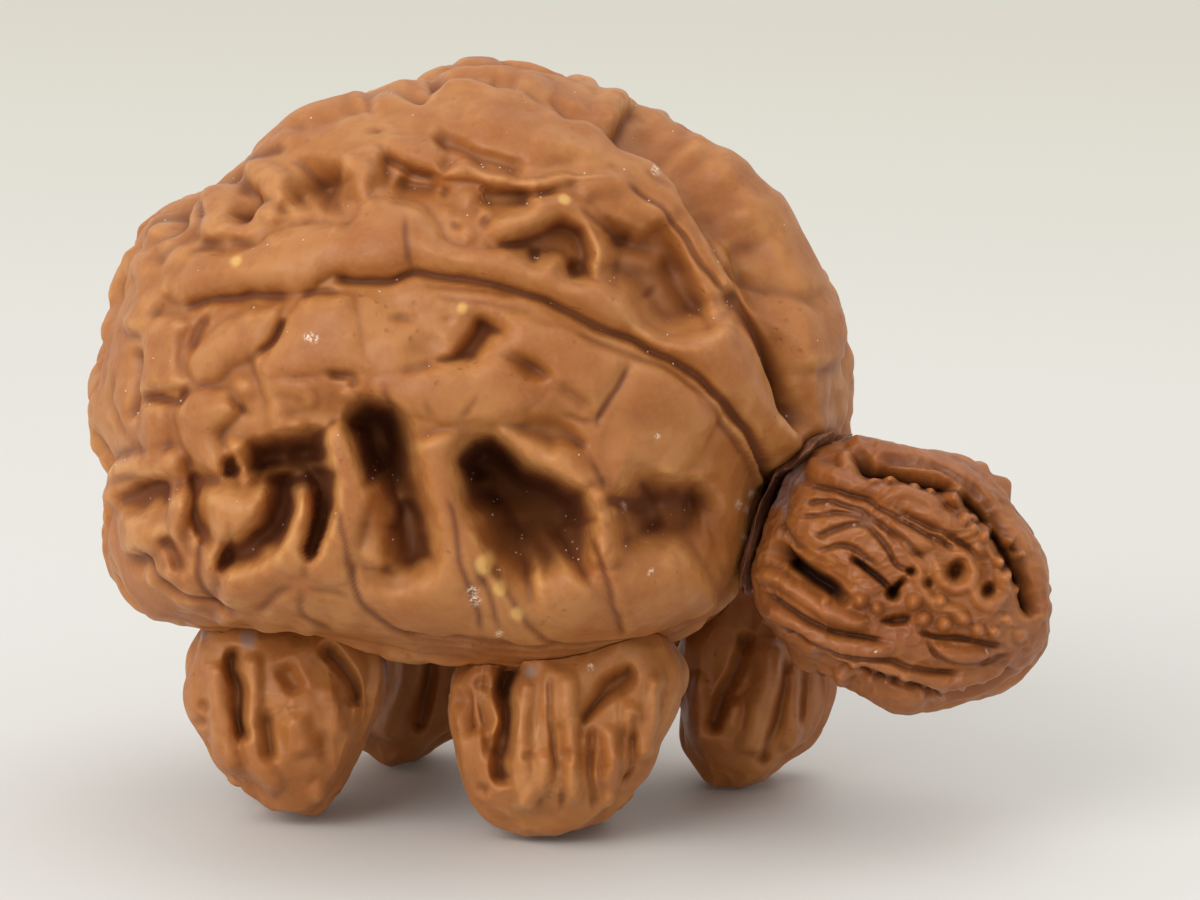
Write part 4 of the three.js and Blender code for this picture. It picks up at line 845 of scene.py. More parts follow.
HEAD_NET = Drawing(
    folds=(
        Fold(-3.2, 0.6, ((17.9, -11.1), (18.8, -11.5), (19.8, -12.2), (20.8, -13), (21.8, -13.6),
            (22.5, -14.2)), line=1.0),
        Fold(-1.2, 0.3, ((22.7, -11.6), (23.4, -12), (24, -12.5), (24.8, -13.2), (25.4, -13.8)), line=1.0),
        Fold(-1.2, 0.32, ((26.3, -12.9), (25.7, -13.4), (25.1, -14)), line=1.0),
        Fold(-0.42, 0.3, ((20, -7.3), (22.1, -7.7), (24.2, -8.5), (26.7, -10), (28, -10.6), (29.2, -11.4)),
            line=0.7),
        Fold(-0.42, 0.3, ((19.8, -8.3), (22.1, -8.5), (23.8, -9.2), (25.8, -10.6), (27.5, -11.9)),
            line=0.7),
        Fold(-0.42, 0.3, ((20.5, -10.6), (22.1, -10), (23.6, -9.8), (24.8, -10.8), (25.6, -12.1),
            (26.7, -12.7)), line=0.7),
        Fold(-0.42, 0.3, ((20.7, -11.4), (22.1, -11), (23.4, -11.4), (24.6, -12.5)), line=0.7),
        Fold(-0.35, 0.28, ((19, -8), (18.6, -9.6), (19.4, -10.6), (20.4, -11.6)), line=0.5),
        Fold(-0.35, 0.28, ((19.6, -9.3), (21.4, -9.2), (22.8, -9.1), (24.6, -10)), line=0.6),
        Fold(-0.35, 0.28, ((25.4, -8.9), (27.4, -9.8), (29.3, -10.7), (30.8, -11.9)), line=0.6),
        Fold(0.5, 0.4, ((17.2, -12.6), (18.9, -13.2), (20.4, -14.2), (22, -15.2), (24, -15.9))),
        Fold(-0.5, 0.25, ((17.4, -13.8), (19, -14.6), (21, -15.8), (23, -16.4), (25, -16.7)), line=0.7),
        Fold(0.4, 0.4, ((17.6, -14.8), (19.5, -15.6), (21.5, -16.6), (23.5, -17.1), (25.5, -17.4))),
        Fold(-0.5, 0.25, ((18.4, -15.8), (20.4, -16.6), (22.6, -17.5), (25, -17.8), (27, -18.5),
            (29.4, -18.6)), line=0.7),
        Fold(-0.6, 0.28, ((26.8, -16.2), (28.2, -16.5), (29.6, -16.6), (31, -16.9), (32.2, -17)), line=0.7),
        Fold(-0.35, 0.28, ((27.4, -16.6), (28, -17.6), (29.4, -18), (31, -17.9), (32.6, -17.4)), line=0.6),
        Fold(0.32, 0.35, ((28.2, -11.6), (28.1, -12.6), (28.6, -13.4), (29.6, -13.5), (30.2, -12.7),
            (29.8, -11.7), (28.9, -11.3))),
        Fold(0.3, 0.35, ((30.4, -13), (30.3, -14), (31, -14.6), (31.9, -14.2), (31.9, -13.2),
            (31.2, -12.7))),
        Fold(0.3, 0.35, ((26.8, -12.2), (27, -13.4), (27.6, -14.4), (28.8, -14.8), (30, -15.2))),
    ),
    patches=(
        Patch(-0.9, 0.4, ((24.6, -15.5), (25.6, -15.0), (26.4, -15.1), (26.2, -15.7), (25.3, -15.8))),
        Patch(0.7, 0.6, ((25.4, -9.6), (27.2, -10.3), (27.8, -11.2), (26.4, -11.5), (25.5, -10.6)),
            Edge.ROUND),
        Patch(0.6, 0.6, ((27.6, -16.9), (29.8, -17), (31.2, -17.4), (30.2, -18.3), (28.4, -18)),
            Edge.ROUND),
    ),
    bumps=(
        Bump(25.4, -13.9, -1.5, 0.6), Bump(26.5, -12.6, -0.8, 0.45), Bump(29.1, -12.5, -1.2, 0.7),
        Bump(31.1, -13.7, -1.0, 0.6), Bump(22.4, -14.2, -1.2, 0.6), Bump(26.6, -14.4, 0.9, 0.6),
        Bump(27.2, -15.4, 0.9, 0.65), Bump(28.5, -15.7, 0.9, 0.6), Bump(29.6, -15.4, 0.9, 0.55),
        Bump(30.4, -16, 0.8, 0.55), Bump(31.4, -16.2, 0.8, 0.5), Bump(32.2, -15.4, 0.7, 0.5),
        Bump(28.2, -14.3, 0.7, 0.5), Bump(32.2, -12.9, 0.6, 0.5), Bump(27.4, -13.3, -0.5, 0.5),
        Bump(21.4, -14.3, 0.7, 0.45), Bump(23.4, -14.3, 0.8, 0.6), Bump(24.4, -14.8, 0.7, 0.5),
        Bump(30.4, -11.4, 0.5, 0.6), Bump(33, -16.4, 0.5, 0.6), Bump(28.3, -10.3, 0.4, 0.6),
    ),
    spots=(
        Spot(21.4, -8.6, 0.14, Tint.CRUST), Spot(23.1, -9.8, 0.12, Tint.CRUST),
        Spot(27.8, -10.6, 0.12, Tint.CRUST),
        Spot(24.4, -17.2, 0.12, Tint.CRUST), Spot(30.9, -17.3, 0.14, Tint.CRUST),
        Spot(19.2, -6.6, 1.2, Tint.GREY), Spot(18.4, -8, 1.0, Tint.GREY),
    ),
)
HEAD_DRAWING = merged(HEAD_SEAMS, HEAD_NET)

FRONT_RIGHT_OUTLINE = (
    (-1.45, -21.5), (-1.2, -19.2), (-0.7, -18), (0.0, -17.0), (2.0, -15.2), (5.5, -14.2), (9.0, -14.6),
    (11.6, -15.9), (12.7, -17.5), (13.05, -18.8), (12.95, -19.5), (12.5, -21.1), (11.8, -22.7),
    (11, -24.7), (10, -26.2), (8.5, -27.5), (7, -28.1), (5, -28.5), (3.4, -28.45), (1.6, -28), (0.3, -27),
    (-0.7, -25.3), (-1.2, -23.5),
)
FRONT_RIGHT_DRAWING = Drawing(
    folds=(
        Fold(-1.6, 0.8, ((2.6, -17.6), (2.3, -18.6), (2, -19.5), (2.3, -21), (2.2, -22), (2.1, -23),
            (1.8, -24), (2.2, -25.5)), line=1.0),
        Fold(0.5, 0.6, ((3.6, -18.6), (3.3, -19.2), (3.1, -20), (3.0, -21.5), (3.0, -22.5), (3.1, -24),
            (3.2, -25), (3.4, -27))),
        Fold(-0.9, 0.7, ((-0.6, -19.3), (-0.4, -20.5), (0, -21.5), (0.4, -22.5)), line=0.4),
        Fold(0.35, 0.4, ((0.3, -19), (1, -20.2), (1.5, -21.5), (1.1, -22.8))),
        Fold(0.45, 0.5, ((4.6, -23), (4.4, -24.5), (4.2, -25.3), (3.6, -26), (3.4, -27))),
        Fold(0.45, 0.6, ((9.9, -20.2), (9.7, -21.5), (10, -22.5))),
        Fold(-0.25, 0.25, ((5.6, -25.2), (5.4, -27)), line=0.7),
        Fold(-0.6, 0.9, ((9.5, -24), (8.7, -25.5), (8.3, -26.5))),
        Fold(0.35, 0.8, ((5.5, -18), (5.2, -20), (5.6, -22))),
        Fold(-0.3, 0.5, ((11.3, -19), (11.4, -21), (10.9, -23.4))),
        Fold(-0.8, 0.8, ((0.6, -18.6), (0.9, -20.6), (1.3, -22.6), (1.5, -24))),
        Fold(0.5, 0.45, ((5.9, -18.4), (6, -22), (6.3, -26.6))),
        Fold(-0.45, 0.4, ((7.4, -21.6), (7.2, -24), (7.5, -27)), line=0.4),
        Fold(0.5, 0.45, ((8.4, -21.5), (8.6, -24.4), (8.3, -26.8))),
        Fold(-0.5, 0.45, ((9.8, -20.8), (9.8, -23.4), (9.3, -25.8)), line=0.4),
        Fold(0.5, 0.5, ((11.2, -18.4), (11, -21.4), (10.3, -24))),
        Fold(-0.4, 0.35, ((4.9, -18.6), (4.9, -21.4), (5.1, -24.8)), line=0.5),
    ),
    patches=(
        Patch(-1.3, 1.0, ((1.4, -18), (3.2, -18.2), (3.1, -19.3), (2.3, -20.2), (1.5, -19.5))),
        Patch(-1.5, 0.9, ((7.8, -18.9), (7.2, -19.8), (6.6, -21), (6.8, -21.5), (7.5, -21), (8.3, -20.3),
            (9.4, -19.8), (10, -18.8), (9.6, -18), (8.6, -18.4))),
    ),
    bumps=(
        Bump(0.75, -25.6, -0.5, 0.6), Bump(3.5, -23.5, -0.3, 0.5), Bump(5.9, -23.4, -0.4, 0.6),
        Bump(9, -22.5, -0.5, 1.2), Bump(7.2, -25, 0.3, 1.1), Bump(6.9, -22.8, 0.3, 0.8),
    ),
    spots=(
        Spot(7.2, -18.2, 0.3, Tint.CRUST), Spot(3.6, -18.5, 0.5, Tint.GREY),
    ),
)
REAR_RIGHT_OUTLINE = (
    (-17.25, -21), (-17.3, -20.0), (-17.1, -18), (-16.6, -16.6), (-15.6, -15.4), (-13.0, -14.2),
    (-10.0, -14.0), (-7.2, -14.8), (-5.3, -16.8), (-4.9, -19.5), (-5.3, -21.2), (-6.1, -22.9),
    (-6.9, -24.8), (-7.5, -26), (-8.4, -27.0), (-9.3, -27.6), (-10.7, -27.4), (-12, -27.1), (-13.7, -26),
    (-15.2, -24.6), (-16, -23.1), (-16.9, -22.0),
)
REAR_RIGHT_DRAWING = Drawing(
    folds=(
        Fold(-1.2, 0.7, ((-14.2, -17), (-14.3, -18.5), (-13.9, -19.5), (-13.75, -20.5), (-13.8, -21.5),
            (-13.6, -22.3), (-13.2, -23)), line=1.0),
        Fold(0.5, 0.6, ((-15.2, -18), (-15.2, -19), (-15.1, -21), (-14.6, -23.5), (-14, -25))),
        Fold(0.5, 0.6, ((-13.1, -17.5), (-13.1, -19), (-13.1, -21.5), (-12.7, -24), (-12, -25.3),
            (-11.3, -26))),
        Fold(-0.7, 0.7, ((-12.2, -20.8), (-12.3, -22), (-12, -24.3)), line=0.3),
        Fold(-0.8, 0.9, ((-11.3, -18), (-10.8, -19), (-10.3, -20.2))),
        Fold(0.4, 0.8, ((-10.8, -21), (-10.2, -22.5), (-9.8, -24))),
        Fold(-1.2, 0.7, ((-9, -17), (-8, -18), (-7.3, -19), (-6.8, -20), (-6.7, -21)), line=1.0),
        Fold(0.3, 0.6, ((-8.8, -19.3), (-8, -21), (-7.8, -23))),
        Fold(-0.3, 0.5, ((-8.7, -22), (-8.6, -24.4))),
    ),
    bumps=(Bump(-15.8, -20.7, -0.35, 0.6), Bump(-16.2, -21.7, -0.3, 0.5), Bump(-9, -26, 0.4, 0.9)),
    spots=(Spot(-16.2, -16.2, 0.8, Tint.GREY), Spot(-13.3, -16.8, 0.7, Tint.GREY)),
)
FRONT_LEFT_OUTLINE = (
    (12.45, -21.5), (12.3, -20.2), (12.1, -17.8), (12.5, -15.2), (14.4, -13.1), (17.8, -12.8), (20.0, -13.8),
    (21.5, -16.0), (22.0, -18.6), (21.85, -20), (21.3, -21.6), (20.4, -23.0), (19.0, -23.95), (17.8, -24.8),
    (16.5, -25.2), (14.5, -25.05), (13.6, -24.3), (12.75, -23),
)
FRONT_LEFT_DRAWING = Drawing(
    folds=(
        Fold(0.7, 0.9, ((18.2, -16), (18, -19), (17.6, -20.5), (17.3, -22), (17, -23.3))),
        Fold(-0.9, 0.7, ((16.8, -15.5), (16, -18), (15.3, -19.3), (14.9, -20.5), (14.6, -22)), line=0.8),
        Fold(-0.7, 0.6, ((19, -17), (18.6, -20), (18, -22), (17.4, -24)), line=0.7),
        Fold(0.35, 0.5, ((15.9, -19.5), (15.6, -22))),
        Fold(0.35, 0.5, ((19.6, -17.5), (19.4, -21), (18.8, -23))),
        Fold(-0.4, 0.35, ((20.0, -17.5), (20, -19), (19.9, -21.5)), line=0.5),
        Fold(0.3, 0.6, ((13.8, -18), (13.6, -20.6), (14, -22.6))),
    ),
)
REAR_LEFT_OUTLINE = (
    (-9.0, -18.6), (-8.3, -15.8), (-6.4, -13.6), (-3.8, -12.7), (-1.2, -13.4), (0.7, -15.4), (1.4, -18.2),
    (0.6, -20.9), (-0.4, -22.1), (-1.3, -22.6), (-2.3, -23.2), (-3.3, -23.7), (-4.4, -23.9), (-5.4, -23.7),
    (-6.1, -23.2), (-7.6, -22.0),
)
REAR_LEFT_DRAWING = Drawing(
    folds=(
        Fold(0.7, 0.8, ((-3.6, -16), (-3.7, -18), (-3.9, -19), (-4.4, -20.3), (-4.7, -21.3),
            (-5.2, -22.3))),
        Fold(-0.8, 0.7, ((-2.3, -16), (-2.6, -19), (-3.2, -22)), line=0.8),
        Fold(-0.8, 0.7, ((-5.4, -16), (-5.8, -19), (-6.4, -21.6)), line=0.8),
    ),
)


@dataclass(frozen=True)
class Grain:
    """The relief of a nut where nothing is drawn on it, and its own turns for the drawing on its back.

    Attributes:
        net_size: mm from one lobe of the net to the next.
        net_height: mm from the net's furrows to its lobes, halved.
        seams: degrees round the nut's long axis at which a seam runs.
        worm_height: mm from the crest to the foot of the worm-like ridges all over.
        worm_size: mm from one such ridge to the next.
        worm_length: how many times longer than wide they run, up and down.
    """

    net_size: float
    net_height: float
    seams: tuple[float, ...] = ()
    worm_height: float = 0.2
    worm_size: float = 2.6
    worm_length: float = 1.6


@dataclass(frozen=True)
class NutForm:
    """The size, shape and drawing of one nut.

    Attributes:
        outline: its outline on the sheet in mm, clockwise.
        half_depth: mm from its middle to its near side.
        toward: mm from the sheet to its middle, toward the eye.
        squareness: power of its section, 2 for an ellipse.
        low_squareness: the same on the lower part of its near side.
        drawing: what is drawn on it.
        grain: its relief elsewhere.
        facets: squares along one edge of the cube that its surface is laid out on.
        gain: how many times the drawn heights are raised.
    """

    outline: tuple[Pair, ...]
    half_depth: float
    toward: float
    squareness: float
    low_squareness: float
    drawing: Drawing
    grain: Grain
    facets: int
    gain: float = 1.0


@dataclass
class Surface:
    """A nut's dense surface while it is worked on.

    Attributes:
        points: rows of x, y, z in mm, in the frame.
        faces: rows of four corner numbers, counted from 0.
        layers: named strengths, one number for each point.
    """

    KEPT_SHARE = 0.35

    points: Array
    faces: Array
    layers: dict[str, Array] = field(default_factory=dict)

    def links(self) -> Array:
        """Pairs of point numbers that share a side of a face."""
        sides = np.vstack([self.faces[:, (i, (i + 1) % 4)] for i in range(4)])
        return np.vstack((sides, sides[:, ::-1]))

    def eased(self, values: Array, rounds: int, links: Array) -> Array:
        """Eases values toward their neighbours' mean.

        Args:
            values: one number for each point.
            rounds: how often the easing is done.
            links: pairs of neighbouring points.

        Returns:
            The eased values.
        """
        count = len(values)
        shares = np.bincount(links[:, 0], minlength=count)
        kept = self.KEPT_SHARE
        for _ in range(rounds):
            sums = np.bincount(links[:, 0], weights=values[links[:, 1]], minlength=count)
            values = kept * values + (1 - kept) * sums / np.maximum(shares, 1)
        return values


def cube_sphere(facets: int, bias: float) -> tuple[Array, Array]:
    """Lays a sphere out on the grid of a cube, closer together on the near side.

    Args:
        facets: squares along one edge of the cube.
        bias: how far the directions are drawn to the near side.

    Returns:
        Rows of unit directions, and rows of four corner numbers.
    """
    steps = np.arange(facets + 1)
    u, v = np.meshgrid(steps, steps, indexing="ij")
    low, high = np.zeros_like(u), np.full_like(u, facets)
    sides = ((high, u, v), (low, v, u), (v, high, u), (u, low, v), (u, v, high), (v, u, low))
    grids = np.stack([np.stack(side, -1) for side in sides])
    corners, numbers = np.unique(grids.reshape(-1, 3), axis=0, return_inverse=True)
    numbers = numbers.reshape(6, facets + 1, facets + 1)
    quads = np.stack(
        (numbers[:, :-1, :-1], numbers[:, 1:, :-1], numbers[:, 1:, 1:], numbers[:, :-1, 1:]), -1,
    ).reshape(-1, 4)
    directions = np.tan((2 * corners / facets - 1) * math.pi / 4)
    directions /= np.linalg.norm(directions, axis=1)[:, None]
    directions[:, 2] += bias
    directions /= np.linalg.norm(directions, axis=1)[:, None]
    return directions, quads


def hashed(cells: Array, salt: int) -> Array:
    """Each whole-numbered cell's own fraction from 0 to 1, always the same."""
    mixed = (cells[:, 0] * 73856093) ^ (cells[:, 1] * 19349663) ^ (cells[:, 2] * 83492791) ^ (salt * 40503)
    mixed = ((mixed ^ (mixed >> 13)) * 1274126177) & 0xFFFFFFFF
    return ((mixed ^ (mixed >> 16)) & 0xFFFFFFFF) / 4294967296


def cell_gap(points: Array) -> Array:
    """How far each point is from the wall between the two nearest cells, in cells."""
    base = np.floor(points).astype(np.int64)
    first = np.full(len(points), np.inf)
    second = np.full(len(points), np.inf)
    for i in (-1, 0, 1):
        for j in (-1, 0, 1):
            for k in (-1, 0, 1):
                cells = base + (i, j, k)
                seeds = cells + np.stack([hashed(cells, salt) for salt in (1, 2, 3)], 1)
                away = np.linalg.norm(points - seeds, axis=1)
                second = np.minimum(second, np.maximum(first, away))
                first = np.minimum(first, away)
    return second - first


def mottle(points: Array, size: float, salt: int) -> Array:
    """Smooth noise from -1 to 1.

    Args:
        points: rows of x, y, z in mm.
        size: mm from one swell to the next.
        salt: a whole number that tells one noise from another.

    Returns:
        One number for each point.
    """
    places = points / size
    base = np.floor(places).astype(np.int64)
    share = places - base
    share = share * share * (3 - 2 * share)
    total = np.zeros(len(points))
    for i in (0, 1):
        for j in (0, 1):
            for k in (0, 1):
                weight = (
                    np.abs(1 - i - share[:, 0]) * np.abs(1 - j - share[:, 1]) * np.abs(1 - k - share[:, 2])
                )
                total += weight * hashed(base + (i, j, k), salt)
    return 2 * total - 1


class Nut:
    """One walnut: a rounded body on its drawn outline, with its relief."""

    SEAM_LIP = 0.9
    SEAM_WIDTH = 2.2
    SEAM_FURROW = 0.8
    NEAR_SIDE_BIAS = 0.58
    EASE_REACH = 0.35
    OUTLINE_SINK = 0.75
    LIFT_SHARE = 0.6
    RISE_LIMIT = 1.6
    CAVITY_DEPTH = 0.5
    RIDGE_RISE = 0.16
    HOLLOW_DEPTH = 4.0
    CREASE_DEPTH = 0.14
    # Share of painted shade laid into the creases' dark line
    CREASE_SHADE = 0.6
    WIDE_ROUNDS = 14
    NARROW_ROUNDS = 4
    OUTLINE_STEPS = 1441
    OUTLINE_SPREAD = 50
    SWELL = 0.18
    BACK_STRETCH = (-0.94, 1.04)
    BACK_SWAY = (0.8, 0.9)
    GRAIN_BEND = 0.8
    ROUGHNESS = ((0.18, 3.6, 31), (0.07, 1.7, 32), (0.03, 0.7, 33))

    def __init__(self, form: NutForm) -> None:
        """Sets a nut up; nothing is built before surface is called."""
        self.form = form
        self.line = rounded(form.outline, closed=True, steps=6)
        drawn = np.array(form.outline)
        self.centre = (drawn.min(0) + drawn.max(0)) / 2
        self._lay_radii()

    def _lay_radii(self) -> None:
        """Measures the outline's radius all round, as drawn and eased."""
        arms = self.line - self.centre
        turns = np.unwrap(np.arctan2(arms[:, 1], arms[:, 0]))
        order = np.argsort(turns)
        turns, reach = turns[order], np.hypot(arms[:, 0], arms[:, 1])[order]
        self.turns = np.linspace(-math.pi, math.pi, self.OUTLINE_STEPS)
        self.radii = np.interp(self.turns, turns, reach, period=2 * math.pi)
        spread = self.OUTLINE_SPREAD
        kernel = np.hanning(2 * spread + 1)
        ring = np.concatenate((self.radii[-spread - 1:-1], self.radii, self.radii[1:spread + 1]))
        self.eased_radii = np.convolve(ring, kernel / kernel.sum(), mode="valid")

    def body(self, directions: Array) -> tuple[Array, Array, Array]:
        """Finds the bare rounded body.

        Args:
            directions: rows of unit directions, across, up and toward.

        Returns:
            Points from the nut's middle, outward normals and outline radii.
        """
        form = self.form
        flat = np.hypot(directions[:, 0], directions[:, 1])
        turn = np.arctan2(directions[:, 1], directions[:, 0])
        sharp = np.interp(turn, self.turns, self.radii)
        eased = np.interp(turn, self.turns, self.eased_radii)
        at_edge = np.exp(-((directions[:, 2] / self.EASE_REACH) ** 2))
        radius = eased + (sharp - eased) * at_edge
        low = np.where(
            directions[:, 2] > 0, smooth(0.3, 0.9, -directions[:, 1] / np.maximum(flat, 1e-6)), 0.0,
        )
        power = form.squareness + (form.low_squareness - form.squareness) * low
        total = (flat / radius) ** power + (np.abs(directions[:, 2]) / form.half_depth) ** power
        points = directions * (total ** (-1 / power))[:, None]
        sizes = np.stack((radius, radius, np.full_like(radius, form.half_depth)), 1)
        lean = np.sign(points) * (np.abs(points) / sizes) ** (power - 1)[:, None] / sizes
        return points, lean / np.linalg.norm(lean, axis=1)[:, None], radius

    def heights(self, points: Array, normals: Array) -> tuple[Array, Array, dict[Tint, Array]]:
        """Finds the relief.

        Args:
            points: rows of points from the nut's middle.
            normals: their outward normals.

        Returns:
            Heights in mm, the share of them that is hollowed out by the drawing, and the tints.
        """
        x, y, z = points.T
        grain = self.form.grain
        bend = 0.25 * grain.net_size
        facing = smooth(0.05, 0.26, np.abs(normals[:, 2]))
        wobble = 0.1 * np.stack((mottle(points, 1.1, 21), mottle(points, 1.1, 22)), 1)
        back = z < 0
        (wide, high), (sway, lift) = self.BACK_STRETCH, self.BACK_SWAY
        drawn_at = self.centre + wobble + np.stack((
            np.where(back, wide * x + sway * np.sin(y / 5), x),
            np.where(back, high * y + lift * np.sin(x / 6), y),
        ), 1)
        drawn, tints = self.form.drawing.measure(drawn_at)
        warped = np.stack((
            x + bend * np.sin(y / grain.net_size),
            y + bend * np.sin(z / grain.net_size + 1),
            1.2 * z + bend * np.sin(x / grain.net_size + 2),
        ), 1) / grain.net_size
        net = 1 - 2 * smooth(0, 0.55, cell_gap(warped))
        fine = smooth(0.0, 0.35, cell_gap(warped * 2.3 + 7.0)) - 0.5
        plain = net * grain.net_height + 0.3 * grain.net_height * fine + self._seam_heights(y, z)
        tall = np.maximum(drawn, 0) * smooth(0.06, 0.36, np.abs(normals[:, 2]))
        height = (tall + np.minimum(drawn, 0)) * facing + (plain - self.OUTLINE_SINK) * (1 - facing)
        for tint in tints:
            tints[tint] = tints[tint] * facing
        return height, np.minimum(drawn, 0) * facing, tints

    def _seam_heights(self, y: Array, z: Array) -> Array:
        """Heights of the seams that run from pole to pole round the nut's long way."""
        turn, girth = np.arctan2(y, z), np.hypot(y, z)
        height = np.zeros(len(y))
        for seam in self.form.grain.seams:
            off = np.abs(np.angle(np.exp(1j * (turn - math.radians(seam))))) * girth
            height += self.SEAM_LIP * np.exp(-((off / self.SEAM_WIDTH) ** 2))
            height -= self.SEAM_FURROW * np.exp(-((off / 0.6) ** 2))
        return height * smooth(2, 7, girth)

    def surface(self, extra: float = 0.0, facets: int = 0) -> Surface:
        """Builds the nut's surface.

        Args:
            extra: an even margin in mm all over.
            facets: squares along one edge of the cube, or 0 for the nut's own.

        Returns:
            The surface, in the frame, with its layers.
        """
        form = self.form
        directions, faces = cube_sphere(facets or form.facets, self.NEAR_SIDE_BIAS)
        points, normals, radius = self.body(directions)
        height, hollow, tints = self.heights(points, normals)
        surface = Surface(points, faces)
        links = surface.links()
        height = surface.eased(height, 1, links)
        size = radius / 6
        x, y, z = points.T
        swell = self.SWELL * (
            np.sin(x / size + 1.3) * np.sin(y / size + 0.4)
            + 0.7 * np.sin((y + z) / size)
            + 0.6 * np.sin((2.3 * z - x) / size + 2)
        )
        grain = form.grain
        bent = points + self.GRAIN_BEND * np.stack([mottle(points, 3.0, salt) for salt in (41, 42, 43)], 1)
        grounds = (points, bent, points)
        rough = sum(
            rise * mottle(ground, *kind) for ground, (rise, *kind) in zip(grounds, self.ROUGHNESS)
        )
        worms = np.zeros(len(points))
        for share, size_mm, salt in ((0.6, grain.worm_size, 35), (0.4, 0.55 * grain.worm_size, 36)):
            stretched = bent * (1.0, 1.0 / grain.worm_length, 1.0)
            worms += share * (0.5 - np.abs(mottle(stretched, size_mm, salt)) ** 0.8)
        facing = np.abs(normals[:, 2])
        open_ground = (1 - smooth(0.5, 2.5, -hollow)) * (0.35 + 0.65 * smooth(0.1, 0.5, facing))
        total = height * form.gain + swell + rough + worms * grain.worm_height * open_ground
        total = np.minimum(total, self.RISE_LIMIT * np.tanh(total / self.RISE_LIMIT))
        squared = np.minimum(total, 0) * smooth(0.4, 0.8, facing)
        squared += np.maximum(total, 0) * self.LIFT_SHARE * smooth(0.15, 0.55, facing)
        raised = points + normals * (total - squared + extra)[:, None]
        raised[:, 2] += np.sign(points[:, 2]) * squared
        sheet = raised + (*self.centre, form.toward)
        wide = surface.eased(total, self.WIDE_ROUNDS, links)
        narrow = surface.eased(total, self.NARROW_ROUNDS, links)
        crease = np.clip((narrow - total) / self.CREASE_DEPTH, 0, 1)
        surface.points = EYE.place(sheet)
        surface.layers = {
            # Where the surface is hollow: it carries painted shade and a darker patina in the colour, and the
            # dust
            "cavity": np.clip((wide - total) / self.CAVITY_DEPTH, 0, 1),
            # Where the surface rises: it carries polish wear and painted highlight in the colour
            "ridge": np.clip((narrow - total) / -self.RIDGE_RISE, 0, 1),
            # Painted shade inside the large holes, by their drawn depth
            "hollow": np.clip(-hollow / self.HOLLOW_DEPTH, 0, 1),
            # Dark crack lines together with painted shade in the creases
            "line": np.maximum(tints[Tint.LINE], self.CREASE_SHADE * crease),
            # Painted highlight spots
            "painted_highlight": tints[Tint.PAINTED_HIGHLIGHT],
            "crust": tints[Tint.CRUST],
            "grey": tints[Tint.GREY],
        }
        return surface


@dataclass(frozen=True)
class NutFinish:
    """Polished walnut, as colours of its lights and darks in linear RGB and shader numbers.

    Attributes:
        name: the material's name.
        body: colour of the open surface where it is darker.
        light: colour of the open surface where it is lighter.
        worn_and_highlit: colour of ridges, partly polish that hands have worn on them and partly painted
            highlight.
        deep: colour down in the cavities and creases, where it is painted shade together with a darker
            patina.
        hollow: painted shade inside the large holes, darkest where they are deepest.
        roughness: roughness of the open surface.
        coat: weight of the clear polish over it.
    """

    name: str
    body: tuple[float, float, float]
    light: tuple[float, float, float]
    worn_and_highlit: tuple[float, float, float]
    deep: tuple[float, float, float]
    hollow: tuple[float, float, float]
    roughness: float = 0.5
    coat: float = 0.06


# The deep colours below stand for painted shade together with a darker patina, and the hollow colours for
# painted shade
SHELL_FINISH = NutFinish(
    name="shell walnut",
    body=(0.33, 0.105, 0.019),
    light=(0.43, 0.175, 0.048),
    worn_and_highlit=(0.60, 0.29, 0.09),
    deep=(0.15, 0.038, 0.009),
    hollow=(0.25, 0.085, 0.024),
)
HEAD_FINISH = NutFinish(
    name="head walnut",
    body=(0.25, 0.073, 0.015),
    light=(0.35, 0.120, 0.027),
    worn_and_highlit=(0.52, 0.21, 0.05),
    deep=(0.05, 0.011, 0.004),
    hollow=(0.07, 0.018, 0.006),
    roughness=0.46,
    coat=0.08,
)
LEG_FINISH = replace(SHELL_FINISH, name="leg walnut", roughness=0.48)
CRUST_COLOUR = (0.72, 0.56, 0.42, 1.0)
# Colour of the painted highlight spots
PAINTED_HIGHLIGHT_COLOUR = (0.72, 0.42, 0.12, 1.0)
GREY_COLOUR = (0.30, 0.19, 0.16, 1.0)


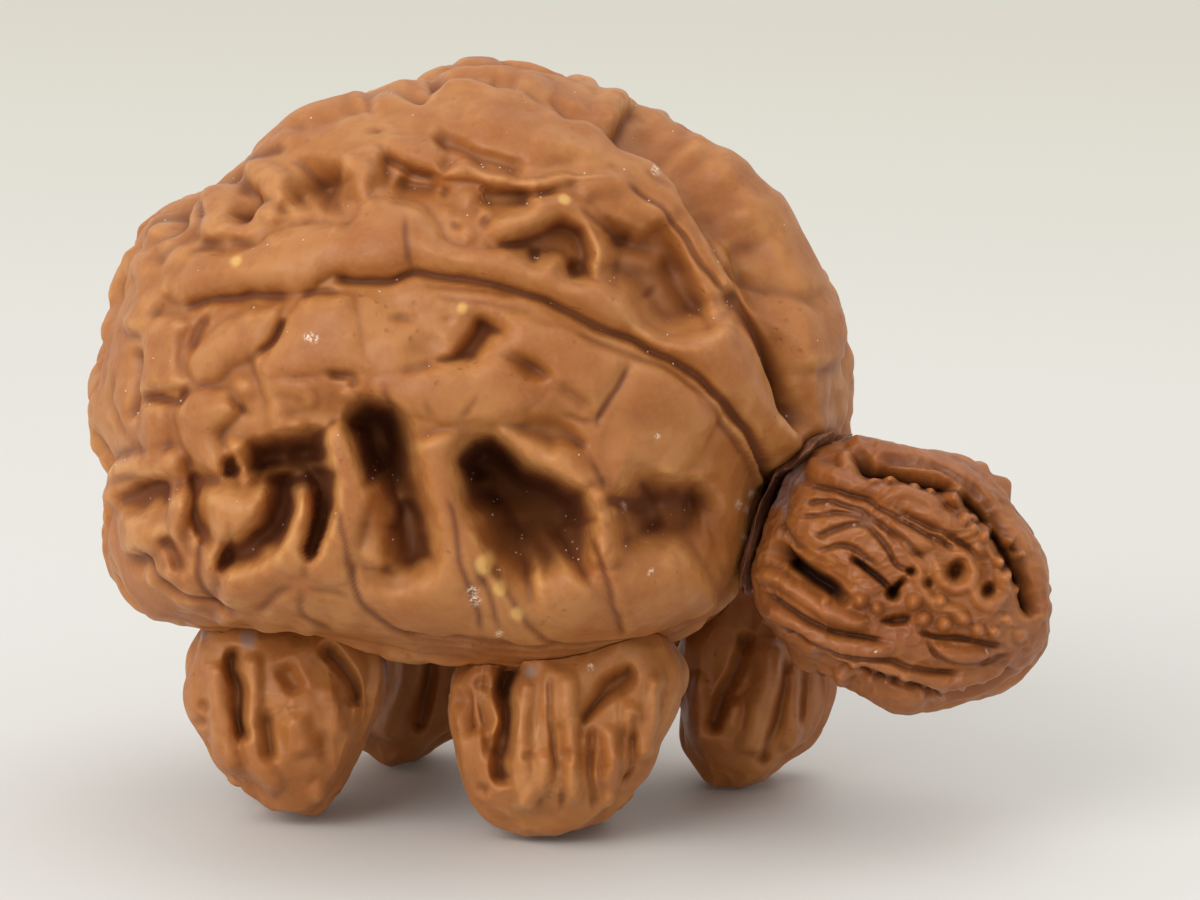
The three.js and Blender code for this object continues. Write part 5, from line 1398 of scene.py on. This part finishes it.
class Tree:
    """A node tree that is laid out in a few calls."""

    def __init__(self, tree: bpy.types.NodeTree) -> None:
        """Takes an empty or cleared tree."""
        self.tree = tree
        self.tree.nodes.clear()

    def node(self, kind: str, inputs: dict | None = None, **settings) -> bpy.types.Node:
        """Adds a node.

        Args:
            kind: the node's type name.
            inputs: input name or number to a value, or to an output to link from.
            settings: the node's own settings.

        Returns:
            The node.
        """
        made = self.tree.nodes.new(kind)
        for name, value in settings.items():
            setattr(made, name, value)
        for key, value in (inputs or {}).items():
            socket = made.inputs[key]
            if isinstance(value, bpy.types.NodeSocket):
                self.tree.links.new(value, socket)
            else:
                socket.default_value = value
        return made

    def layer(self, name: str) -> bpy.types.NodeSocket:
        """Reads a named attribute of the mesh."""
        return self.node("ShaderNodeAttribute", attribute_name=name).outputs["Fac"]

    def noise(
        self, place: bpy.types.NodeSocket, millimetres: float, detail: float,
    ) -> bpy.types.NodeSocket:
        """Noise whose swells are so many millimetres apart, from 0 to 1."""
        sizes = {"Vector": place, "Scale": 1 / (millimetres * METRES), "Detail": detail}
        return self.node("ShaderNodeTexNoise", sizes).outputs["Fac"]

    def ranged(
        self, value: bpy.types.NodeSocket, low: float, high: float, to_low: float = 0.0, to_high: float = 1.0,
    ) -> bpy.types.NodeSocket:
        """Maps a range smoothly to another."""
        numbers = {"Value": value, "From Min": low, "From Max": high, "To Min": to_low, "To Max": to_high}
        return self.node("ShaderNodeMapRange", numbers, interpolation_type="SMOOTHSTEP").outputs["Result"]

    def math(self, operation: str, one, other) -> bpy.types.NodeSocket:
        """Joins two numbers or outputs by a mathematical operation."""
        return self.node("ShaderNodeMath", {0: one, 1: other}, operation=operation).outputs[0]

    def mix(self, share, one, other) -> bpy.types.NodeSocket:
        """Mixes two colours by a share from 0 to 1."""
        made = self.node("ShaderNodeMix", data_type="RGBA")
        for socket, value in zip((made.inputs[0], made.inputs[6], made.inputs[7]), (share, one, other)):
            if isinstance(value, bpy.types.NodeSocket):
                self.tree.links.new(value, socket)
            elif isinstance(value, tuple) and len(value) == 3:
                socket.default_value = (*value, 1.0)
            else:
                socket.default_value = value
        return made.outputs[2]


def new_material(name: str) -> tuple[bpy.types.Material, Tree]:
    """Makes an empty node material."""
    material = bpy.data.materials.new(name)
    material.use_nodes = True
    return material, Tree(material.node_tree)


def nut_material(finish: NutFinish) -> bpy.types.Material:
    """Builds polished walnut, with painted shade in its cavities, holes and creases and painted highlight on
    its ridges.

    Args:
        finish: its colours and numbers.

    Returns:
        The material.
    """
    material, tree = new_material(finish.name)
    place = tree.node("ShaderNodeTexCoord").outputs["Object"]
    cavity, ridge = tree.layer("cavity"), tree.layer("ridge")
    broad = tree.ranged(tree.noise(place, 5.0, 2.0), 0.35, 0.68)
    patchy = tree.ranged(tree.noise(place, 1.1, 4.0), 0.42, 0.66)
    grain = tree.ranged(tree.noise(place, 0.28, 5.0), 0.35, 0.75)
    colour = tree.mix(broad, finish.body, finish.light)
    colour = tree.mix(tree.math("MULTIPLY", patchy, 0.45), colour, finish.body)
    colour = tree.mix(tree.math("MULTIPLY", grain, 0.25), colour, finish.light)
    # Ridges are lightened toward the ridge colour: polish wear together with painted highlight
    polish_and_highlight = tree.ranged(patchy, 0.0, 1.0, 0.6, 0.25)
    colour = tree.mix(tree.math("MULTIPLY", ridge, polish_and_highlight), colour, finish.worn_and_highlit)
    # Painted shade inside the large holes
    colour = tree.mix(tree.ranged(tree.layer("hollow"), 0.1, 0.9, 0.0, 0.75), colour, finish.hollow)
    # Painted shade in the cavities, together with a darker patina
    colour = tree.mix(tree.ranged(cavity, 0.1, 0.9, 0.0, 0.72), colour, finish.deep)
    # Dark crack lines together with painted shade in the creases
    colour = tree.mix(tree.math("MULTIPLY", tree.layer("line"), 0.85), colour, finish.deep)
    pores = tree.node("ShaderNodeTexVoronoi", {"Vector": place, "Scale": 1 / (0.75 * METRES)})
    pore = tree.ranged(pores.outputs["Distance"], 0.12, 0.26, 1.0, 0.0)
    sparse = tree.ranged(tree.noise(place, 2.2, 2.0), 0.56, 0.66)
    pore = tree.math("MULTIPLY", pore, sparse)
    colour = tree.mix(tree.math("MULTIPLY", pore, 0.2), colour, finish.deep)
    granular = tree.ranged(tree.noise(place, 0.16, 2.0), 0.4, 0.6)
    crust = tree.math("MULTIPLY", tree.layer("crust"), granular)
    colour = tree.mix(tree.math("MULTIPLY", tree.layer("grey"), 0.75), colour, GREY_COLOUR)
    # Painted highlight spots
    colour = tree.mix(tree.math("MULTIPLY", tree.layer("painted_highlight"), 0.7), colour, PAINTED_HIGHLIGHT_COLOUR)
    colour = tree.mix(crust, colour, CRUST_COLOUR)
    dull = tree.math("ADD", tree.math("MULTIPLY", cavity, 0.25), tree.math("MULTIPLY", patchy, 0.1))
    roughness = tree.math("ADD", dull, finish.roughness)
    swell = tree.noise(place, 0.55, 4.0)
    height = tree.math("ADD", tree.math("MULTIPLY", swell, 0.05), tree.math("MULTIPLY", pore, -0.05))
    bump = tree.node("ShaderNodeBump", {"Height": height, "Distance": METRES, "Strength": 0.8})
    shader = tree.node("ShaderNodeBsdfPrincipled", {
        "Base Color": colour,
        "Roughness": roughness,
        "Normal": bump.outputs["Normal"],
        "Subsurface Weight": 0.25,
        "Subsurface Radius": (1.0, 0.35, 0.15),
        "Subsurface Scale": 1.0 * METRES,
        "Coat Weight": finish.coat,
        "Specular IOR Level": 0.4,
        "Coat Roughness": 0.22,
        "IOR": 1.48,
    })
    tree.node("ShaderNodeOutputMaterial", {"Surface": shader.outputs[0]})
    return material


def glue_material() -> bpy.types.Material:
    """Builds the clouded brown glue between the nuts."""
    material, tree = new_material("clouded glue")
    place = tree.node("ShaderNodeTexCoord").outputs["Object"]
    cloud = tree.ranged(tree.noise(place, 0.9, 4.0), 0.4, 0.62)
    grains = tree.ranged(tree.noise(place, 0.2, 3.0), 0.6, 0.7)
    colour = tree.mix(cloud, (0.12, 0.042, 0.018), (0.21, 0.085, 0.04))
    colour = tree.mix(tree.math("MULTIPLY", grains, 0.3), colour, CRUST_COLOUR)
    bump = tree.node("ShaderNodeBump", {
        "Height": tree.noise(place, 0.5, 3.0), "Distance": 0.05 * METRES, "Strength": 0.7,
    })
    shader = tree.node("ShaderNodeBsdfPrincipled", {
        "Base Color": colour,
        "Roughness": tree.ranged(cloud, 0.0, 1.0, 0.45, 0.6),
        "Normal": bump.outputs["Normal"],
        "Subsurface Weight": 0.3,
        "Subsurface Radius": (1.0, 0.6, 0.4),
        "Subsurface Scale": 0.8 * METRES,
    })
    tree.node("ShaderNodeOutputMaterial", {"Surface": shader.outputs[0]})
    return material


def dust_material() -> bpy.types.Material:
    """Builds the pale dust that lies in the nuts' relief."""
    material, tree = new_material("pale dust")
    place = tree.node("ShaderNodeTexCoord").outputs["Object"]
    colour = tree.mix(tree.noise(place, 0.8, 2.0), (0.42, 0.30, 0.20), (0.75, 0.66, 0.54))
    shader = tree.node("ShaderNodeBsdfPrincipled", {"Base Color": colour, "Roughness": 0.9})
    tree.node("ShaderNodeOutputMaterial", {"Surface": shader.outputs[0]})
    return material


def mesh_object(name: str, surface: Surface) -> bpy.types.Object:
    """Makes a smooth-shaded object of a surface.

    Args:
        name: the object's name.
        surface: its points in mm, faces and layers.

    Returns:
        The object, linked to the scene, at the origin.
    """
    mesh = bpy.data.meshes.new(name)
    mesh.from_pydata((surface.points * METRES).tolist(), [], surface.faces.tolist())
    mesh.polygons.foreach_set("use_smooth", np.ones(len(mesh.polygons), dtype=bool))
    for layer, values in surface.layers.items():
        attribute = mesh.attributes.new(layer, "FLOAT", "POINT")
        attribute.data.foreach_set("value", values.astype(np.float32))
    made = bpy.data.objects.new(name, mesh)
    bpy.context.scene.collection.objects.link(made)
    return made


def settle(target: bpy.types.Object) -> None:
    """Turns an object's modifiers into its plain mesh."""
    graph = bpy.context.evaluated_depsgraph_get()
    plain = bpy.data.meshes.new_from_object(target.evaluated_get(graph))
    target.modifiers.clear()
    target.data = plain


def combine(target: bpy.types.Object, others: list[tuple[str, bpy.types.Object]]) -> None:
    """Cuts or meets an object with others.

    Args:
        target: the object that is changed.
        others: operation name and object, in order.
    """
    for operation, other in others:
        step = target.modifiers.new(operation.lower(), "BOOLEAN")
        step.operation, step.object, step.solver = operation, other, "MANIFOLD"
    settle(target)


def hand_over(piece: bpy.types.Object, material: bpy.types.Material, node: str = "") -> None:
    """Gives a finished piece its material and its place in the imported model.

    Args:
        piece: the finished object.
        material: its finish.
        node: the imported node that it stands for, if any.
    """
    piece.data.materials.clear()
    piece.data.materials.append(material)
    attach(piece, ROOT)
    if node:
        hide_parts(node)
    log.info("%s: %d faces", piece.name, len(piece.data.polygons))


@dataclass(frozen=True)
class ShellSize:
    """Sizes of the shell nut's body, in mm, and how finely it is laid out."""

    half_depth: float = 19.4
    squareness: float = 2.15
    low_squareness: float = 3.3
    facets: int = 127
    cutter_facets: int = 100


@dataclass
class ShellNut:
    """The large nut that is the tortoise's shell."""

    size: ShellSize = field(default_factory=ShellSize)
    margins: dict[float, Surface] = field(default_factory=dict)

    def nut(self) -> Nut:
        """The nut's form, ready to be built."""
        return Nut(NutForm(
            outline=SHELL_OUTLINE,
            half_depth=self.size.half_depth,
            toward=0.0,
            squareness=self.size.squareness,
            low_squareness=self.size.low_squareness,
            drawing=SHELL_DRAWING,
            grain=Grain(net_size=7.0, net_height=0.8, seams=(15, 57, 122, 166, -62, -118)),
            facets=self.size.facets,
            gain=1.2,
        ))

    def build(self) -> bpy.types.Object:
        """Builds the nut as one piece."""
        return mesh_object("shell_nut", self.nut().surface())

    def margin(self, extra: float) -> bpy.types.Object:
        """Builds the nut a margin larger all over, to cut or meet others with."""
        if extra not in self.margins:
            self.margins[extra] = self.nut().surface(extra, self.size.cutter_facets)
        return mesh_object("shell_margin", self.margins[extra])

    def dress(self, piece: bpy.types.Object, material: bpy.types.Material) -> None:
        """Gives the nut its finish and its node."""
        hand_over(piece, material, "shell_walnut")


@dataclass(frozen=True)
class HeadSize:
    """Sizes of the head nut's body, in mm, and how finely it is laid out."""

    toward: float = 5.4
    half_depth: float = 8.0
    squareness: float = 2.1
    seat_gap: float = 0.05
    facets: int = 112
    cutter_facets: int = 84


@dataclass
class HeadNut:
    """The small nut glued to the shell's front end as the head."""

    size: HeadSize = field(default_factory=HeadSize)

    def nut(self) -> Nut:
        """The nut's form, ready to be built."""
        return Nut(NutForm(
            outline=HEAD_OUTLINE,
            half_depth=self.size.half_depth,
            toward=self.size.toward,
            squareness=self.size.squareness,
            low_squareness=self.size.squareness,
            drawing=HEAD_DRAWING,
            grain=Grain(net_size=3.2, net_height=0.3, worm_height=0.42, worm_size=1.2, worm_length=0.7),
            gain=1.35,
            facets=self.size.facets,
        ))

    def build(self, clear_shell: bpy.types.Object) -> bpy.types.Object:
        """Builds the nut, seated against the shell.

        Args:
            clear_shell: the shell with the seat's margin, which is cut out of the head.

        Returns:
            The nut as one piece.
        """
        piece = mesh_object("head_nut", self.nut().surface())
        combine(piece, [("DIFFERENCE", clear_shell)])
        return piece

    def margin(self, extra: float) -> bpy.types.Object:
        """Builds the nut a margin larger all over, to cut or meet others with."""
        return mesh_object("head_margin", self.nut().surface(extra, self.size.cutter_facets))

    def dress(self, piece: bpy.types.Object, material: bpy.types.Material) -> None:
        """Gives the nut its finish and its node."""
        hand_over(piece, material, "head_walnut")


@dataclass(frozen=True)
class LegSize:
    """Sizes and place of one leg nut, in mm.

    Attributes:
        node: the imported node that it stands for.
        outline: its outline on the sheet.
        toward: from the sheet to its middle.
        half_depth: from its middle to its near side.
        drawing: what is drawn on it.
    """

    node: str
    outline: tuple[Pair, ...]
    toward: float
    half_depth: float
    drawing: Drawing


LEG_SIZES = (
    LegSize("leg_front_right", FRONT_RIGHT_OUTLINE, 5.0, 6.2, FRONT_RIGHT_DRAWING),
    LegSize("leg_rear_right", REAR_RIGHT_OUTLINE, 0.6, 6.0, REAR_RIGHT_DRAWING),
    LegSize("leg_front_left", FRONT_LEFT_OUTLINE, -7.4, 5.2, FRONT_LEFT_DRAWING),
    LegSize("leg_rear_left", REAR_LEFT_OUTLINE, -13.3, 5.0, REAR_LEFT_DRAWING),
)


@dataclass
class LegNut:
    """A small nut glued under the shell as a leg, with its foot worn flat."""

    SQUARENESS = 2.2
    FOOT_FLAT = 0.35
    FACETS = 74

    size: LegSize

    def surface(self) -> Surface:
        """Builds the nut's surface, let down until its flat foot stands on the floor.

        Returns:
            The surface.
        """
        nut = Nut(NutForm(
            outline=self.size.outline,
            half_depth=self.size.half_depth,
            toward=self.size.toward,
            squareness=self.SQUARENESS,
            low_squareness=self.SQUARENESS,
            drawing=self.size.drawing,
            grain=Grain(net_size=4.0, net_height=0.3, worm_height=0.5, worm_size=2.0, worm_length=2.4),
            gain=1.4,
            facets=self.FACETS,
        ))
        surface = nut.surface()
        drop = surface.points[:, 2].min() + self.FOOT_FLAT
        surface.points[:, 2] = np.maximum(surface.points[:, 2] - drop, 0.0)
        return surface

    def build(self, clear_shell: bpy.types.Object) -> bpy.types.Object:
        """Builds the nut, seated under the shell.

        Args:
            clear_shell: the shell with the seat's margin, which is cut out of the leg.

        Returns:
            The nut as one piece.
        """
        piece = mesh_object(f"{self.size.node}_nut", self.surface())
        combine(piece, [("DIFFERENCE", clear_shell)])
        return piece

    def dress(self, piece: bpy.types.Object, material: bpy.types.Material) -> None:
        """Gives the nut its finish and its node."""
        hand_over(piece, material, self.size.node)


@dataclass(frozen=True)
class GlueSize:
    """How far, in mm, glue reaches over the surfaces that it joins, and the slit it keeps from them."""

    neck_reach: float = 0.75
    slit: float = 0.02


@dataclass
class Glue:
    """The hardened glue that shows round the place where the head meets the shell."""

    SMOOTHING_ROUNDS = 3

    size: GlueSize = field(default_factory=GlueSize)

    def build(self, shell: ShellNut, head: HeadNut) -> bpy.types.Object:
        """Builds the glue, which lies within reach of the shell and the head and outside both.

        Args:
            shell: the shell.
            head: the head that is glued to it.

        Returns:
            The glue as one piece.
        """
        reach, slit = self.size.neck_reach, self.size.slit
        piece = shell.margin(reach)
        piece.name = "neck_glue"
        tools = [head.margin(reach), shell.margin(slit), head.margin(slit)]
        combine(piece, list(zip(("INTERSECT", "DIFFERENCE", "DIFFERENCE"), tools)))
        for tool in tools:
            bpy.data.objects.remove(tool)
        self._keep_largest(piece)
        return piece

    @staticmethod
    def _keep_largest(piece: bpy.types.Object) -> None:
        """Drops all but the largest body of a piece."""
        work = bmesh.new()
        work.from_mesh(piece.data)
        left = set(work.verts)
        bodies = []
        while left:
            body, edge = set(), [left.pop()]
            while edge:
                vertex = edge.pop()
                body.add(vertex)
                for side in vertex.link_edges:
                    other = side.other_vert(vertex)
                    if other in left:
                        left.discard(other)
                        edge.append(other)
            bodies.append(body)
        bodies.sort(key=len)
        for body in bodies[:-1]:
            bmesh.ops.delete(work, geom=list(body), context="VERTS")
        for _ in range(Glue.SMOOTHING_ROUNDS):
            bmesh.ops.smooth_vert(
                work, verts=work.verts, factor=0.5, use_axis_x=True, use_axis_y=True, use_axis_z=True,
            )
        work.to_mesh(piece.data)
        work.free()

    @staticmethod
    def dress(piece: bpy.types.Object, material: bpy.types.Material) -> None:
        """Gives the glue its finish and its node."""
        hand_over(piece, material, "glue_neck")


@dataclass(frozen=True)
class DustSize:
    """Sizes of the dust: grains to a square metre of cavity, their span in mm, and the fixed seed."""

    density: float = 450000.0
    smallest: float = 0.05
    largest: float = 0.16
    seed: int = 7


@dataclass
class Dust:
    """Pale grains that have stayed in the relief of the shell's upper side."""

    size: DustSize = field(default_factory=DustSize)

    def tree(self, material: bpy.types.Material) -> bpy.types.GeometryNodeTree:
        """Builds the node tree that strews the grains over a surface.

        Args:
            material: the grains' finish.

        Returns:
            The tree.
        """
        group = bpy.data.node_groups.new("strewn dust", "GeometryNodeTree")
        face = group.interface
        face.new_socket("Surface", in_out="INPUT", socket_type="NodeSocketGeometry")
        for name in ("Density", "Smallest", "Largest"):
            face.new_socket(name, in_out="INPUT", socket_type="NodeSocketFloat")
        face.new_socket("Seed", in_out="INPUT", socket_type="NodeSocketInt")
        face.new_socket("Grains", in_out="OUTPUT", socket_type="NodeSocketGeometry")
        tree = Tree(group)
        given = tree.node("NodeGroupInput").outputs
        cavity = tree.node("GeometryNodeInputNamedAttribute", {"Name": "cavity"}, data_type="FLOAT")
        normal = tree.node("ShaderNodeSeparateXYZ", {0: tree.node("GeometryNodeInputNormal").outputs[0]})
        upward = tree.ranged(normal.outputs["Z"], 0.0, 0.6)
        low = tree.ranged(cavity.outputs["Attribute"], 0.1, 0.6, 0.12, 1.0)
        share = tree.math("MULTIPLY", upward, low)
        strewn = tree.node("GeometryNodeDistributePointsOnFaces", {
            "Mesh": given["Surface"],
            "Density": tree.math("MULTIPLY", share, given["Density"]),
            "Seed": given["Seed"],
        })
        span = tree.node("FunctionNodeRandomValue", {
            2: given["Smallest"], 3: given["Largest"], "Seed": given["Seed"],
        }, data_type="FLOAT")
        grain = tree.node("GeometryNodeMeshIcoSphere", {"Radius": 0.5 * METRES, "Subdivisions": 1})
        placed = tree.node("GeometryNodeInstanceOnPoints", {
            "Points": strewn.outputs["Points"],
            "Instance": grain.outputs[0],
            "Rotation": strewn.outputs["Rotation"],
            "Scale": span.outputs[1],
        })
        real = tree.node("GeometryNodeRealizeInstances", {0: placed.outputs[0]})
        finished = tree.node("GeometryNodeSetMaterial", {0: real.outputs[0], "Material": material})
        tree.node("NodeGroupOutput", {0: finished.outputs[0]})
        return group

    def build(self, ground: bpy.types.Object, material: bpy.types.Material) -> bpy.types.Object:
        """Strews the grains over a piece.

        Args:
            ground: the piece that they lie on.
            material: their finish.

        Returns:
            All grains as one piece.
        """
        piece = bpy.data.objects.new("dust", ground.data.copy())
        bpy.context.scene.collection.objects.link(piece)
        step = piece.modifiers.new("strewn", "NODES")
        step.node_group = self.tree(material)
        values = {
            "Density": self.size.density, "Smallest": self.size.smallest,
            "Largest": self.size.largest, "Seed": self.size.seed,
        }
        for item in step.node_group.interface.items_tree:
            if item.in_out == "INPUT" and item.name in values:
                step[item.identifier] = values[item.name]
        settle(piece)
        return piece

    @staticmethod
    def dress(piece: bpy.types.Object, material: bpy.types.Material) -> None:
        """Gives the grains their finish."""
        hand_over(piece, material)


@dataclass
class Tortoise:
    """The whole figure."""

    shell: ShellNut = field(default_factory=ShellNut)
    head: HeadNut = field(default_factory=HeadNut)
    glue: Glue = field(default_factory=Glue)
    dust: Dust = field(default_factory=Dust)

    def build(self) -> None:
        """Builds and dresses every piece."""
        glue_finish = glue_material()
        shell_piece = self.shell.build()
        clear_shell = self.shell.margin(self.head.size.seat_gap)
        head_piece = self.head.build(clear_shell)
        legs = [LegNut(size) for size in LEG_SIZES]
        leg_finish = nut_material(LEG_FINISH)
        for leg in legs:
            leg.dress(leg.build(clear_shell), leg_finish)
        bpy.data.objects.remove(clear_shell)
        self.glue.dress(self.glue.build(self.shell, self.head), glue_finish)
        dust_finish = dust_material()
        grains = self.dust.build(shell_piece, dust_finish)
        self.shell.dress(shell_piece, nut_material(SHELL_FINISH))
        self.head.dress(head_piece, nut_material(HEAD_FINISH))
        self.dust.dress(grains, dust_finish)


@dataclass(frozen=True)
class FloorFinish:
    """The pale floor: its colour near the object and far behind it, in linear RGB."""

    near: tuple[float, float, float] = (0.67, 0.665, 0.64)
    far: tuple[float, float, float] = (0.58, 0.565, 0.49)
    roughness: float = 0.6


@dataclass
class Studio:
    """The floor, the lights and the camera."""

    FLOOR_REACH = 6.0

    floor_finish: FloorFinish = field(default_factory=FloorFinish)

    def build_floor(self) -> None:
        """Lays the floor, which runs on behind the object out of view."""
        bpy.ops.mesh.primitive_plane_add(size=2 * self.FLOOR_REACH)
        floor = bpy.context.object
        floor.name = "floor"
        material, tree = new_material("pale floor")
        place = tree.node("ShaderNodeTexCoord").outputs["Object"]
        away = tree.node("ShaderNodeSeparateXYZ", {0: place}).outputs["Y"]
        colour = tree.mix(tree.ranged(away, -0.1, 0.5), self.floor_finish.near, self.floor_finish.far)
        shader = tree.node("ShaderNodeBsdfPrincipled", {
            "Base Color": colour, "Roughness": self.floor_finish.roughness,
        })
        tree.node("ShaderNodeOutputMaterial", {"Surface": shader.outputs[0]})
        floor.data.materials.append(material)

    @staticmethod
    def add_light(name: str, place: tuple[float, float, float], size: float, power: float) -> None:
        """Adds a square light that shines at the object.

        Args:
            name: its name.
            place: its middle in metres.
            size: its side in metres.
            power: its power in watts.
        """
        light = bpy.data.lights.new(name, "AREA")
        light.size, light.energy = size, power
        lamp = bpy.data.objects.new(name, light)
        lamp.location = place
        aim = Vector((0.0, 0.0, 0.02)) - lamp.location
        lamp.rotation_euler = aim.to_track_quat("-Z", "Y").to_euler()
        bpy.context.scene.collection.objects.link(lamp)

    def light(self) -> None:
        """Lights the object softly from above and from the left."""
        self.add_light("key light", (-0.7, -1.6, 1.1), 1.5, 26.0)
        self.add_light("top light", (0.3, 0.5, 2.0), 1.6, 8.0)
        world = bpy.data.worlds.new("pale room")
        world.use_nodes = True
        tree = Tree(world.node_tree)
        glow = tree.node("ShaderNodeBackground", {"Color": (1.0, 0.985, 0.96, 1.0), "Strength": 0.86})
        tree.node("ShaderNodeOutputWorld", {"Surface": glow.outputs[0]})
        bpy.context.scene.world = world
        bpy.context.scene.view_settings.view_transform = "Standard"

    @staticmethod
    def set_camera() -> None:
        """Stands the camera where the nuts are drawn from."""
        right, up, toward = EYE.axes()
        eye = np.array(EYE.middle) + right * EYE.across + up * EYE.up + toward * EYE.distance
        data = bpy.data.cameras.new("camera")
        data.sensor_width, data.lens = 36.0, 165.0
        data.clip_start = 0.01
        camera = bpy.data.objects.new("camera", data)
        camera.location = Vector(eye * METRES)
        camera.rotation_euler = Vector(toward).to_track_quat("Z", "Y").to_euler()
        bpy.context.scene.collection.objects.link(camera)
        bpy.context.scene.camera = camera


def main() -> None:
    """Builds the tortoise and its studio."""
    Tortoise().build()
    studio = Studio()
    studio.build_floor()
    studio.light()
    studio.set_camera()


if __name__ == "__main__":
    main()
